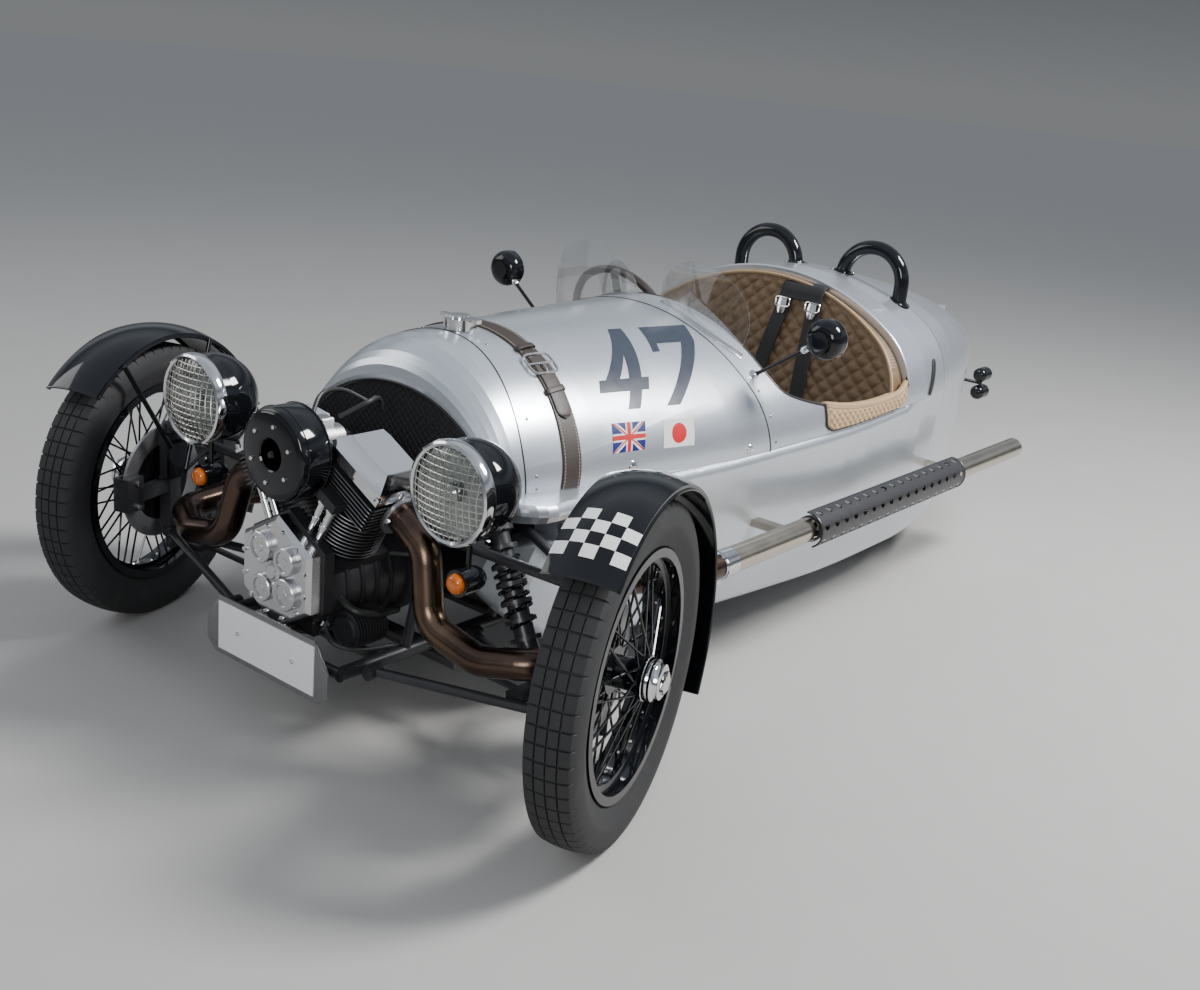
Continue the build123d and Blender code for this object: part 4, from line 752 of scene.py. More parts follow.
def add_lamps():
    make("lamp_rims", both(lamp_rim()), "chrome")
    make("lamp_glasses", both(lamp_glass()), "lamp_glass", stands_for=("headlamp_lenses",))
    make("lamp_reflectors", both(lamp_reflector()), "reflector")
    make("stone_guards", both(stone_guard()), "wire")
    bullet, lens = indicator()
    make("indicator_bodies", both(bullet), "black_gloss", stands_for=("indicators",))
    make("indicator_lenses", both(lens), "amber")
    make("plate_bracket", plate_bracket(), "rubbed_alloy", keep_flat=True)
    places = [(x, -0.2355, 0.206) for x in (-0.09, 0.09)]
    make("plate_screws", cap_screws(places, (0, -1, 0), 0.0055, 0.0032), "chrome")


# Engine, drawn about the crankshaft's line

CRANK_Z = 0.335
VEE = math.radians(28)
CYL_Y = -0.075


def vee(along, across, y):
    """Left cylinder: distance up its axis, across it outwards, and y from the front axle."""
    along, across, y = np.broadcast_arrays(*(np.asarray(v, float) for v in (along, across, y)))
    return np.stack([along * math.sin(VEE) + across * math.cos(VEE), y,
                     CRANK_Z + along * math.cos(VEE) - across * math.sin(VEE)], -1)


UP_CYLINDER = (math.sin(VEE), 0, math.cos(VEE))
OUT_OF_CYLINDER = (math.cos(VEE), 0, -math.sin(VEE))
COVER_BASE = 0.3063


def rocker_cover():
    """Polished cover: upright sides, a long bevel all round and a flat top, on a thin flange."""
    rows = ((COVER_BASE + 0.006, 0.086, 0.066), (COVER_BASE + 0.024, 0.085, 0.065),
            (COVER_BASE + 0.053, 0.064, 0.045), (COVER_BASE + 0.056, 0.06, 0.041))
    points = []
    for along, half, deep in rows:
        for across in (-half, half):
            for y in (CYL_Y - deep, CYL_Y + deep):
                points.append(vee(along, across, y))
        for across in (-half + 0.02, half - 0.02):
            points += [vee(along, across, CYL_Y - deep - 0.004), vee(along, across, CYL_Y + deep + 0.004)]
    flange = [vee(along, across, CYL_Y + y) for along in (COVER_BASE, COVER_BASE + 0.007)
              for across in (-0.09, 0.09) for y in (-0.07, 0.07)]
    return join(hull(points), hull(flange))


def cover_screws():
    """Six round heads on the rocker cover's flange."""
    places = [vee(COVER_BASE + 0.009, across, CYL_Y + y)
              for across in (-0.083, 0.083) for y in (-0.064, 0.0, 0.064)]
    return cap_screws(places, UP_CYLINDER, 0.0072, 0.007)


def head_fins():
    """Thin bright edge along each fin of the heads and barrels, where the paint is rubbed."""
    rings = []
    pitch, corner, radius = 0.0095, 0.012, 0.0763
    flat_x, flat_y = 0.0885 - corner, 0.0705 - corner
    for index in range(7):
        along = 0.234 + index * pitch
        path = []
        for quarter, (sx, sy) in enumerate(((1, 1), (-1, 1), (-1, -1), (1, -1))):
            turn = np.linspace(0, TAU / 4, 5) + quarter * TAU / 4
            path += list(vee(along, sx * flat_x + corner * np.cos(turn),
                             CYL_Y + sy * flat_y + corner * np.sin(turn)))
        rings.append(tube(path, 0.0014, 6, closed=True, up=UP_CYLINDER))
    turn = turns(48)
    for index in range(11):
        path = vee(0.126 + index * pitch, radius * np.cos(turn), CYL_Y + radius * np.sin(turn))
        path = path[path[:, 0] > 0.004]
        steps = np.linalg.norm(np.diff(path, axis=0), axis=1)
        if steps.max() > 0.02:
            path = np.roll(path, -1 - int(np.argmax(steps)), axis=0)
        rings.append(tube(path, 0.0011, 6, up=UP_CYLINDER))
    return join(*rings)


def pushrod_collars():
    """Turned collars at the foot, middle and head of both pushrod tubes."""
    collars = []
    for across in (-0.017, 0.012):
        for along, size in ((0.142, 0.0125), (0.185, 0.011), (0.2285, 0.0125)):
            place = vee(along, across, -0.164)
            outline = [(0, 0.003), (size - 0.001, 0.003), (size, 0.002), (size, -0.005), (0, -0.005)]
            collars.append(lathe(outline, place, UP_CYLINDER, 20))
    return join(*collars)


def gear_cover_dress():
    """Four round bearing covers with raised rims, and a small one in the middle."""
    front = -0.2225
    pieces = []
    for x, z, radius in ((-0.038, 0.418, 0.034), (0.042, 0.408, 0.03), (-0.03, 0.33, 0.03),
                         (0.044, 0.336, 0.034)):
        outline = [(0, 0.0035), (radius * 0.25, 0.0035), (radius * 0.3, 0.001), (radius * 0.72, 0.001),
                   (radius * 0.76, 0.005), (radius * 0.96, 0.005), (radius * 1.02, 0.003),
                   (radius * 1.03, -0.012), (0, -0.012)]
        pieces.append(lathe(outline, (x, front, z), (0, -1, 0), 40))
    middle = [(0, 0.006), (0.014, 0.006), (0.016, 0.002), (0.0235, 0.0), (0.0235, -0.012), (0, -0.012)]
    pieces.append(lathe(middle, (0.004, front, 0.376), (0, -1, 0), 32))
    return join(*pieces)


def gear_cover_screws():
    """Two screws along each side of the hexagon, and five small ones in a ring on two of the covers."""
    turn = np.arange(12) * TAU / 12 + TAU / 24
    reach = 0.126 * math.cos(math.pi / 6) / np.cos((turn % (TAU / 6)) - math.pi / 6) - 0.0135
    places = np.stack([-reach * np.sin(turn), np.full(12, -0.2135), 0.37 + reach * np.cos(turn)], -1)
    small = np.concatenate([upright_ring((x, -0.2265, z), 0.026, turns(5))
                            for x, z in ((-0.038, 0.418), (0.044, 0.336))])
    return join(cap_screws(places, (0, -1, 0), 0.0052, 0.006), cap_screws(small, (0, -1, 0), 0.0028, 0.003))


AIR_Z, AIR_FRONT = 0.63, -0.228


def air_cleaner_dress():
    """Flat drum face with a rolled edge and a small boss in the middle."""
    centre = (0, AIR_FRONT, AIR_Z)
    face = [(0, 0.0045), (0.006, 0.0045), (0.009, 0.0), (0.033, 0.0), (0.036, 0.003), (0.082, 0.003),
            (0.088, 0.0008), (0.0965, -0.006), (0.0985, -0.014), (0.0985, -0.074), (0.0975, -0.0765),
            (0.096, -0.0745), (0.096, -0.01), (0, -0.005)]
    bands = [ring_lathe(bead_outline(0.0988, -d, 0.0015), centre, (0, -1, 0), 64) for d in (0.018, 0.072)]
    return join(lathe(face, centre, (0, -1, 0), 64), *bands)


def air_cleaner_screws():
    """Six screws in a ring on the drum's face."""
    places = upright_ring((0, AIR_FRONT - 0.003, AIR_Z), 0.062, turns(6) + 0.35)
    return cap_screws(places, (0, -1, 0), 0.0045, 0.004)


def intake_cover():
    """Throttle body and its sensor, between the two covers."""
    body = lathe([(0, -0.05), (0.026, -0.05), (0.03, -0.045), (0.03, -0.02), (0.034, -0.018), (0.034, 0.018),
                  (0.03, 0.02), (0.03, 0.045), (0, 0.045)], (0.0, -0.1, AIR_Z + 0.012), (0, 1, 0), 32)
    sensor = brick((-0.018, -0.115, AIR_Z + 0.04), (0.02, -0.08, AIR_Z + 0.062), 0.003)
    return join(body, sensor)


def engine_hoses():
    """Breather, oil and wiring runs round the engine."""
    runs = (
        (((0.02, -0.07, 0.69), (0.05, -0.02, 0.722), (0.03, 0.03, 0.72), (0.02, 0.05, 0.69)), 0.006),
        (((-0.03, -0.1, 0.688), (-0.06, -0.05, 0.72), (-0.05, 0.0, 0.725), (-0.02, 0.045, 0.7)), 0.005),
        (((0.1, -0.13, 0.33), (0.16, -0.13, 0.315), (0.175, -0.08, 0.3), (0.15, 0.0, 0.28)), 0.008),
        (((-0.1, -0.13, 0.34), (-0.17, -0.12, 0.32), (-0.18, -0.06, 0.3), (-0.15, 0.02, 0.27)), 0.008),
        (((0.09, -0.155, 0.27), (0.13, -0.16, 0.24), (0.17, -0.12, 0.225), (0.19, -0.05, 0.222)), 0.006),
        (((0.12, 0.0, 0.4), (0.17, 0.03, 0.41), (0.2, 0.1, 0.45), (0.21, 0.2, 0.47)), 0.0055),
        (((-0.12, 0.0, 0.4), (-0.17, 0.03, 0.42), (-0.2, 0.1, 0.45), (-0.21, 0.2, 0.47)), 0.0055),
    )
    return join(*[tube(smooth_path(points, 8), radius, 8, up=(0.3, 0.1, 0.95)) for points, radius in runs])


def hose_fittings():
    """Hexagon union at the start of three of the hoses."""
    places = ((0.1, -0.13, 0.33), (-0.1, -0.13, 0.34), (0.09, -0.155, 0.27))
    return join(*[lathe([(0, 0.012), (0.009, 0.012), (0.0115, 0.009), (0.0115, -0.004), (0, -0.004)],
                        place, (math.copysign(1, place[0]), -0.2, 0), 6) for place in places])


def oil_cooler():
    """Finned drum low on each side of the crankcase."""
    x, y, z = 0.135, -0.132, 0.262
    fin = [(0, 0.0), (0.041, 0.0), (0.043, 0.0012), (0.041, 0.0024), (0, 0.0024)]
    drums = [lathe(fin, (x, y + index * 0.008, z), (0, 1, 0), 28) for index in range(11)]
    core = [(0, -0.006), (0.03, -0.006), (0.034, 0.0), (0.034, 0.086), (0, 0.086)]
    return join(*drums, lathe(core, (x, y, z), (0, 1, 0), 28))


# Places and radii of the three bosses on the crankcase's front, as (x, z, radius)
CASE_BOSSES = ((0.082, 0.3, 0.024), (-0.084, 0.3, 0.022), (0.0, 0.236, 0.02))


def case_dress():
    """Foot block, three bosses and four ribs on the crankcase."""
    pieces = [brick((-0.075, -0.168, 0.232), (0.075, -0.148, 0.27), 0.005)]
    for x, z, radius in CASE_BOSSES:
        pieces.append(lathe([(0, 0.022), (radius * 0.7, 0.022), (radius, 0.016), (radius, -0.01), (0, -0.01)],
                            (x, -0.155, z), (0, -1, 0), 28))
    for y in (-0.11, -0.07, -0.03, 0.01):
        path = upright_ring((0, y, CRANK_Z), 0.117, -np.linspace(-0.5, math.pi + 0.5, 30))
        pieces.append(tube(path, 0.005, 8, up=(0, 1, 0)))
    return join(*pieces)


def case_bolts():
    """Bolts round the lower half of the crankcase's front, and one on each boss."""
    places = upright_ring((0, -0.1525, CRANK_Z), 0.104, turns(10))
    low = places[places[:, 2] < 0.36]
    extra = [(x, -0.177, z) for x, z, _ in CASE_BOSSES]
    return join(hexagons(low, (0, -1, 0), 0.007, 0.008), hexagons(extra, (0, -1, 0), 0.009, 0.006))


def port_flanges():
    """Clamp ring and two studs where each header pipe leaves its head."""
    step = 0.004 * np.array(OUT_OF_CYLINDER)
    place = (0.207, -0.065, 0.528) + step
    ring = [(0.0322, -0.006), (0.045, -0.006), (0.047, -0.004), (0.047, 0.004), (0.045, 0.006),
            (0.0322, 0.006)]
    studs = [place + (0, y, 0) + step for y in (-0.04, 0.04)]
    return join(ring_lathe(ring, place, OUT_OF_CYLINDER, 40), hexagons(studs, OUT_OF_CYLINDER, 0.006, 0.008))


def add_engine():
    make("rocker_covers_polished", both(rocker_cover()), "chrome", sharp=25, stands_for=("rocker_covers",))
    make("rocker_screws", both(cover_screws()), "chrome")
    make("fin_edges", both(head_fins()), "rubbed_alloy")
    make("pushrod_collars", both(pushrod_collars()), "chrome")
    make("gear_bosses", gear_cover_dress(), "polished_alloy")
    make("gear_screws", gear_cover_screws(), "chrome")
    make("air_drum", air_cleaner_dress(), "black_gloss")
    make("air_screws", air_cleaner_screws(), "chrome")
    make("throttle_body", intake_cover(), "alloy")
    make("engine_hoses", engine_hoses(), "black_plastic")
    make("hose_fittings", hose_fittings(), "chrome")
    make("oil_coolers", both(oil_cooler()), "black_alloy")
    make("case_dress", case_dress(), "black_alloy")
    make("case_bolts", case_bolts(), "chrome")
    make("port_flanges", both(port_flanges()), "rubbed_alloy")


# Exhaust guards

PIPE_X, PIPE_Z = 0.555, 0.358
PIPE_R = 0.0322
PIPE_END = 2.3655
GUARD_START, GUARD_END = 1.035, 1.89
GUARD_LOW, GUARD_HIGH = -60, 96
GUARD_R = 0.047


def guard_sheet():
    """Curved sheet with oval holes: a grid of cells, each with a hole, wrapped round the pipe.

    Each cell is a ring of quads from a square to a circle, so the holes are real.
    """
    rows, columns, sides = 3, 17, 16
    round_hole = circle(turns(sides), (1, 0), (0, 1))
    square = round_hole / np.abs(round_hole).max(axis=1)[:, None] * 0.5
    round_hole = round_hole * 0.21
    u, v = np.meshgrid(np.arange(columns), np.arange(rows), indexing="ij")
    cells = np.stack([u, v], -1).reshape(-1, 1, 2) + 0.5
    outer, inner = cells + square, cells + round_hole
    flat = np.concatenate([outer, inner], axis=1)
    count = len(flat)
    angle = np.radians(GUARD_LOW + (GUARD_HIGH - GUARD_LOW) * flat[..., 1] / rows)
    y = GUARD_START + (GUARD_END - GUARD_START) * flat[..., 0] / columns
    skins = [np.stack([PIPE_X + r * np.cos(angle), y, PIPE_Z + r * np.sin(angle)], -1).reshape(-1, 3)
             for r in (GUARD_R, GUARD_R - 0.0016)]
    ring, layer = np.arange(sides), 2 * sides * count
    here, after = sides + ring, sides + (ring + 1) % sides
    quad = np.stack([ring, (ring + 1) % sides, after, here], -1)
    wall = np.stack([here, after, after + layer, here + layer], -1)
    first = (2 * sides * np.arange(count))[:, None, None]
    faces = np.concatenate([(shape + first).reshape(-1, 4) for shape in (quad, quad + layer, wall)])
    return np.concatenate(skins), faces.tolist()


def guard_edges():
    """Rolled edges along the sheet and at its two ends."""
    radius = GUARD_R - 0.0008
    edges, along = [], np.linspace(GUARD_START, GUARD_END, 8)
    for angle in np.radians((GUARD_LOW, GUARD_HIGH)):
        path = [upright_ring((PIPE_X, y, PIPE_Z), radius, angle) for y in along]
        edges.append(tube(path, 0.0026, 8))
    turn = np.radians(np.linspace(GUARD_LOW, GUARD_HIGH, 20))
    for y in (GUARD_START, GUARD_END):
        edges.append(tube(upright_ring((PIPE_X, y, PIPE_Z), radius, turn), 0.0026, 8, up=(0, 1, 0)))
    return join(*edges)


def guard_clips():
    """Bands round the pipe and short standoffs that hold the sheet."""
    clips = []
    for y in (1.05, 1.46, 1.875):
        clips.append(ring_lathe([(PIPE_R, -0.007), (0.0345, -0.007), (0.0345, 0.007), (PIPE_R, 0.007)],
                                (PIPE_X, y, PIPE_Z), (0, 1, 0), 36))
        for out in upright_ring((0, 0, 0), 1, np.radians((-20, 55))):
            clips.append(lathe([(0, 0.0), (0.004, 0.0), (0.004, 0.0128), (0, 0.0128)],
                               (PIPE_X, y, PIPE_Z) + out * 0.0336, out, 10))
    return join(*clips)


def pipe_joints():
    """Slip joint collar and clamp where the header meets the side pipe, and a rolled lip at the open end."""
    collar = ring_lathe([(PIPE_R, -0.03), (0.0345, -0.029), (0.0345, 0.029), (PIPE_R, 0.03)],
                        (PIPE_X, 0.645, PIPE_Z), (0, 1, 0), 40)
    clamp = ring_lathe([(0.0345, -0.008), (0.0362, -0.008), (0.0362, 0.008), (0.0345, 0.008)],
                       (PIPE_X, 0.632, PIPE_Z), (0, 1, 0), 40)
    lug = brick((PIPE_X - 0.006, 0.626, PIPE_Z - 0.052), (PIPE_X + 0.006, 0.638, PIPE_Z - 0.034), 0.002)
    lip = ring_lathe(bead_outline(0.0308, PIPE_END, 0.0016), (PIPE_X, 0, PIPE_Z), (0, 1, 0), 40)
    return join(collar, clamp, lug, lip)


def add_exhaust():
    make("guard_sheets", both(guard_sheet()), "dark_steel", stands_for=("pipe_guards",))
    make("guard_edges", both(guard_edges()), "dark_steel")
    make("guard_clips", both(guard_clips()), "dark_steel")
    make("pipe_joints", both(pipe_joints()), "chrome")


# Panel joints, fasteners, strap and painted marks of the body

# Corners of the marks as (y, z): lower front, lower rear, upper rear, upper front
NUMERAL_CORNERS = ((0.446, 0.694), (0.769, 0.685), (0.931, 0.826), (0.564, 0.833))
CROSSED_CORNERS = ((0.45, 0.608), (0.548, 0.606), (0.572, 0.665), (0.469, 0.669))
DISC_CORNERS = ((0.608, 0.601), (0.71, 0.597), (0.726, 0.657), (0.627, 0.662))
# Places of the bonnet's studs as (y, s)
STUDS = ((0.509, 0.275), (0.915, 0.095))


def circle_through(a, b, c):
    """Centre and radius of the circle through three points of a plane, from the two chords' bisectors."""
    a, b, c = (np.asarray(point, float) for point in (a, b, c))
    centre = np.linalg.solve(2 * np.array([b - a, c - a]), [b @ b - a @ a, c @ c - a @ a])
    return centre, np.linalg.norm(a - centre)


def cowl_joint(z):
    """The joint behind the cowl is an arc seen from the side."""
    centre, radius = circle_through((0.1962, 0.56), (0.2122, 0.716), (0.2622, 0.85))
    return centre[0] - np.sqrt(radius ** 2 - (z - centre[1]) ** 2)


def scuttle_joint(z):
    """The joint ahead of the cockpit is a straight line seen from the side."""
    return 0.9962 - (z - 0.546) * 0.058 / 0.314


def strap_line(z):
    """The bonnet strap leans back by nine degrees."""
    return 0.342 + (z - 0.7) * math.tan(math.radians(9))


def lie_along(line, s):
    """Y at each s of a line that is known by its height: the height is looked up again until it settles."""
    y = line(np.full_like(s, 0.7))
    for _ in range(6):
        y = line(skin_point(y, s)[..., 2])
    return y


def at_height(y, z):
    """S at which the skin reaches a height, read off 200 points of the arch."""
    arch = np.linspace(0, 1.5, 200)
    heights = skin_point(np.asarray(y, float)[:, None], arch[None])[..., 2]
    return np.array([np.interp(level, row, arch) for level, row in zip(np.broadcast_to(z, len(y)), heights)])


def under(x, y):
    """Skin point above or below each (x, y), read off 300 points of the arch."""
    arch = np.linspace(0, 3, 300)
    rows = skin_point(np.asarray(y, float)[:, None], arch[None])
    return np.array([np.interp(-place, -row[:, 0], arch) for place, row in zip(x, rows)])


def outward(y, s):
    """Direction square off the skin."""
    return on_skin(y, s, 1.0) - on_skin(y, s, 0.0)


def paced(path, pitch):
    """The path cut into equal steps by its length."""
    path = np.asarray(path, float)
    run = np.concatenate([[0], np.cumsum(np.linalg.norm(np.diff(path, axis=0), axis=1))])
    places = np.linspace(0, run[-1], max(2, int(run[-1] / pitch)))
    return np.stack([np.interp(places, run, path[:, axis]) for axis in range(3)], -1)


def stitches(path, out, length=0.0048, width=0.0013, height=0.0007):
    """Threads end to end along a path: a flattened box of eight corners for each point of it."""
    run = unit(np.gradient(path, axis=0))
    side = np.cross(run, out)
    corners = np.array([(i, j, k) for i in (-0.5, 0.5) for j in (-0.5, 0.5) for k in (-0.4, 1)])
    points = path[:, None] + corners[:, :1] * length * run[:, None] \
        + corners[:, 1:2] * width * side[:, None] + corners[:, 2:] * height * np.asarray(out)[:, None]
    box = np.array([(0, 1, 3, 2), (4, 6, 7, 5), (0, 4, 5, 1), (2, 3, 7, 6), (0, 2, 6, 4), (1, 5, 7, 3)])
    faces = box[None] + 8 * np.arange(len(path))[:, None, None]
    return points.reshape(-1, 3), faces.reshape(-1, 4).tolist()


def painted_seam_shadows():
    """Thin dark tubes in the two joints across the bonnet: painted shadow of the panel gaps."""
    s = np.linspace(0, 3, 160)
    paths = [on_skin(lie_along(line, s), s, 0.0) for line in (cowl_joint, scuttle_joint)]
    return join(*[tube(path, 0.0017, 8, up=(0, 1, 0)) for path in paths])


def turned_on_skin(outline, places, steps=20):
    """A turned fitting standing square on the skin at each (y, s), on both sides of the car."""
    return both(join(*[lathe(outline, on_skin(y, s), outward(y, s), steps) for y, s in places]))


def bonnet_studs():
    """Quarter-turn studs: a dished ring with a domed head, and a slot bar across it."""
    ring = [(0.0138, -0.001), (0.0138, 0.0008), (0.0125, 0.0018), (0.0098, 0.0018), (0.009, 0.0006),
            (0.0086, 0.0006), (0.0078, 0.0016), (0, 0.0026)]
    bars = []
    for y, s in STUDS:
        middle, out = on_skin(y, s, 0.0027), outward(y, s)
        bars.append(tube([middle - (0, 0.0075, 0), middle, middle + (0, 0.0075, 0)], 0.0009, 6, up=out))
    return join(turned_on_skin(ring, STUDS), both(join(*bars)))


def skin_rivets():
    """Domed rivet heads beside the joints."""
    s = np.array((0.12, 0.594, 1.124, 1.38))
    y = lie_along(cowl_joint, s) + 0.03
    s2 = np.array((0.12, 0.5, 0.9))
    y2 = lie_along(scuttle_joint, s2) + 0.022
    dome = [(0.0038, -0.0006), (0.0036, 0.0008), (0.0024, 0.0017), (0, 0.0021)]
    return turned_on_skin(dome, list(zip(y, s)) + list(zip(y2, s2)), 12)


def strap_path(s, across, lift):
    """Points along the strap, set off across it, and lifted."""
    y = lie_along(strap_line, np.asarray(s, float)) + across
    return on_skin(y, s, lift)


def strap_stitches():
    """A row of thread inside each edge of the strap."""
    s = np.linspace(0.05, 2.95, 300)
    rows = []
    for across in (-0.0205, 0.0205):
        path = paced(strap_path(s, across, 0.0035), 0.0075)
        middle = paced(strap_path(s, across, 0.05), 0.0075)
        middle = middle[np.linspace(0, len(middle) - 1, len(path)).astype(int)]
        rows.append(stitches(path, unit(middle - path)))
    return join(*rows)


def strap_end():
    """The strap's free end, lying double from the buckle down to a rounded tip."""
    s = np.linspace(1.31, 1.1, 40)
    path = strap_path(s, 0.0, 0.0042)
    left = np.linspace(1, 0, 40)
    width = 0.042 * np.sqrt(np.clip(1 - np.clip((0.12 - left) / 0.12, 0, 1) ** 2, 0.02, 1))
    return ribbon(path, width, 0.0034, outward(lie_along(strap_line, s), s))


def strap_hole_shades():
    """Black discs down the free end: painted shade standing for its punched holes."""
    s = np.linspace(1.21, 1.125, 4)
    y = lie_along(strap_line, s)
    hole = [(0, 0.0003), (0.0026, 0.0003), (0.0026, -0.001)]
    return join(*[lathe(hole, on_skin(a, b, 0.0076), outward(a, b), 12) for a, b in zip(y, s)])


def keeper(s):
    """Loop across both layers of the strap, its ends bent down to the paint."""
    turn = np.linspace(0, math.pi, 15)
    across = -0.0275 * np.cos(turn)
    lift = 0.0012 + 0.0085 * np.sin(turn) ** 0.35
    y = lie_along(strap_line, np.full(15, s)) + across
    return ribbon(on_skin(y, np.full(15, s), lift), 0.014, 0.0018, outward(y, np.full(15, s)))


def buckle():
    """Round wire bent to a rounded frame, its points by angle on a squared circle, with a bar and a prong."""
    s0 = 1.262
    y0 = float(lie_along(strap_line, np.array([s0]))[0])
    middle, out = on_skin(y0, s0, 0.0085), outward(y0, s0)
    next_y = float(lie_along(strap_line, np.array([s0 - 0.02]))[0])
    run = unit(on_skin(next_y, s0 - 0.02) - on_skin(y0, s0))
    side = np.cross(out, run)
    a, b = squared_circle(0.029, 0.038, 0.45, 40)
    frame_wire = tube(middle + a[:, None] * run + b[:, None] * side, 0.0032, 10, closed=True, up=out)
    bar = tube([middle + t * side for t in (-0.038, 0, 0.038)], 0.0028, 10, up=out)
    rise = ((0, 0.0035), (0.01, 0.005), (0.022, 0.0045), (0.03, 0.002))
    prong = tube([middle + t * run + h * out for t, h in rise], [0.0026, 0.0026, 0.0024, 0.002], 10, up=side)
    return join(frame_wire, bar, prong)


def between(corners, u, v):
    """Place of (u, v) between four corners, bilinearly."""
    p, q, r, w = (np.asarray(corner, float) for corner in corners)
    u, v = u[..., None], v[..., None]
    flat = (p * (1 - u) + q * u) * (1 - v) + (w * (1 - u) + r * u) * v
    return flat[..., 0], flat[..., 1]


def patches(quads, place, steps):
    """Flat marks: each quad of (u, v) corners is filled with a grid and laid on the skin by place."""
    t = np.linspace(0, 1, steps)
    return join(*[grid(place(*between(quad, t[:, None], t[None]))) for quad in quads])


def marked(corners, lift, side=1):
    """Lays (u, v) between four (y, z) corners and looks up the skin's own place for each."""
    def place(u, v):
        y, z = between(corners, u, v)
        s = at_height(y.ravel(), z.ravel()).reshape(y.shape)
        return on_skin(y, s, lift) * (side, 1, 1)
    return place


def numeral_marks(side):
    """Two block figures on the bonnet's side, each made of four-cornered strokes in millimetres."""
    four = [((0, 36), (34, 36), (66, 104), (66, 146)), ((0, 36), (110, 36), (110, 60), (0, 60)),
            ((66, 0), (94, 0), (94, 36), (66, 36)), ((66, 60), (94, 60), (94, 146), (66, 146))]
    seven = [((0, 118), (104, 118), (104, 146), (0, 146)), ((0, 104), (16, 104), (16, 118), (0, 118)),
             ((24, 0), (56, 0), (104, 118), (72, 118))]
    quads = [[(u / 236, v / 146) for u, v in quad] for quad in four]
    quads += [[((u + 132) / 236, v / 146) for u, v in quad] for quad in seven]
    if side < 0:
        quads = [[(1 - u, v) for u, v in quad] for quad in quads]
    return patches(quads, marked(NUMERAL_CORNERS, 0.0006, side), 12)


def crossed_flag():
    """Field, then white and red bars of a crossed flag, each a little higher than the one below."""
    def bars(half, slant):
        upright = [((0.5 - half, 0), (0.5 + half, 0), (0.5 + half, 1), (0.5 - half, 1)),
                   ((0, 0.5 - 1.4 * half), (1, 0.5 - 1.4 * half), (1, 0.5 + 1.4 * half),
                    (0, 0.5 + 1.4 * half))]
        return upright + [((0, 0), (slant, 0), (1, 1), (1 - slant, 1)),
                          ((1 - slant, 0), (1, 0), (slant, 1), (0, 1))]
    blue = patches([((0, 0), (1, 0), (1, 1), (0, 1))], marked(CROSSED_CORNERS, 0.0006), 16)
    white = patches(bars(0.1, 0.16), marked(CROSSED_CORNERS, 0.0009), 16)
    red = patches(bars(0.055, 0.06), marked(CROSSED_CORNERS, 0.0012), 16)
    return blue, white, red


def disc_flag():
    """White field with a red disc: the disc's points are a radius and an angle laid on the field."""
    white = patches([((0, 0), (1, 0), (1, 1), (0, 1))], marked(DISC_CORNERS, 0.0006), 16)
    radius, turn = np.linspace(0, 1, 6)[:, None], np.linspace(0, TAU, 33)[None]
    place = marked(DISC_CORNERS, 0.0009)
    return white, grid(place(0.5 + 0.24 * radius * np.cos(turn), 0.5 + 0.36 * radius * np.sin(turn)))


def screen_feet():
    """Flat strip under each aero screen: a rounded bar that follows the screen's curve over the scuttle."""
    middle, front, bend = 0.178, 0.972, 0.23
    t = np.linspace(-0.13, 0.132, 40)
    y = front + bend - np.sqrt(bend ** 2 - t ** 2)
    s = under(middle + t, y)
    return both(ribbon(on_skin(y, s, 0.0002), 0.022, 0.0022, outward(y, s)))


def rear_rim():
    """Folded edge behind the cockpit: a rounded band carried over the arch from one side to the other."""
    rim_y, foot_z = 1.665, 0.645
    low = float(at_height(np.array([rim_y]), foot_z)[0])
    s = np.linspace(low, 3 - low, 160)[:, None]
    across = np.array([(-0.021, -0.0045), (0.0015, -0.0055), (0.0042, -0.003), (0.0052, 0.001),
                       (0.0042, 0.006), (0.001, 0.0095), (0.0001, 0.0095), (0.0001, -0.0008),
                       (-0.0205, -0.0008)])
    return swept(on_skin(rim_y + across[None, :, 1], s, across[None, :, 0]))


def cut_line():
    """(y, z) along the cockpit's cut, through the points that the solid's arcs pass."""
    knots = np.array([(1.05, 0.735), (1.07, 0.69), (1.126, 0.662), (1.25, 0.6325), (1.374, 0.619),
                      (1.502, 0.6171), (1.63, 0.627), (1.657, 0.64), (1.665, 0.672)])
    path = smooth_path(np.concatenate([np.zeros((9, 1)), knots], 1), 14)
    return path[:, 1], path[:, 2]


def cockpit_edging():
    """Soft edging tube round the scuttle's rear edge and down both cut sides."""
    y, z = cut_line()
    side = on_skin(y, at_height(y, z), -0.0025)
    top = np.linspace(float(at_height(y[:1], z[0])[0]), 1.5, 40)
    over = on_skin(np.full(40, y[0]), top, -0.0025)
    return both(tube(np.concatenate([over[::-1], side[1:]]), 0.0045, 8, up=(0.2, 0.05, 0.1)))


def latch_straps():
    """Rubber latch on each flank behind the cockpit."""
    t = np.linspace(0, 1, 24)
    y, s = 1.8 + 0.05 * t, 0.03 + 0.42 * t
    width = 0.022 * np.sqrt(np.clip(1 - np.abs(2 * t - 1) ** 8, 0.05, 1))
    return both(ribbon(on_skin(y, s, 0.0006), width, 0.004, outward(y, s)))


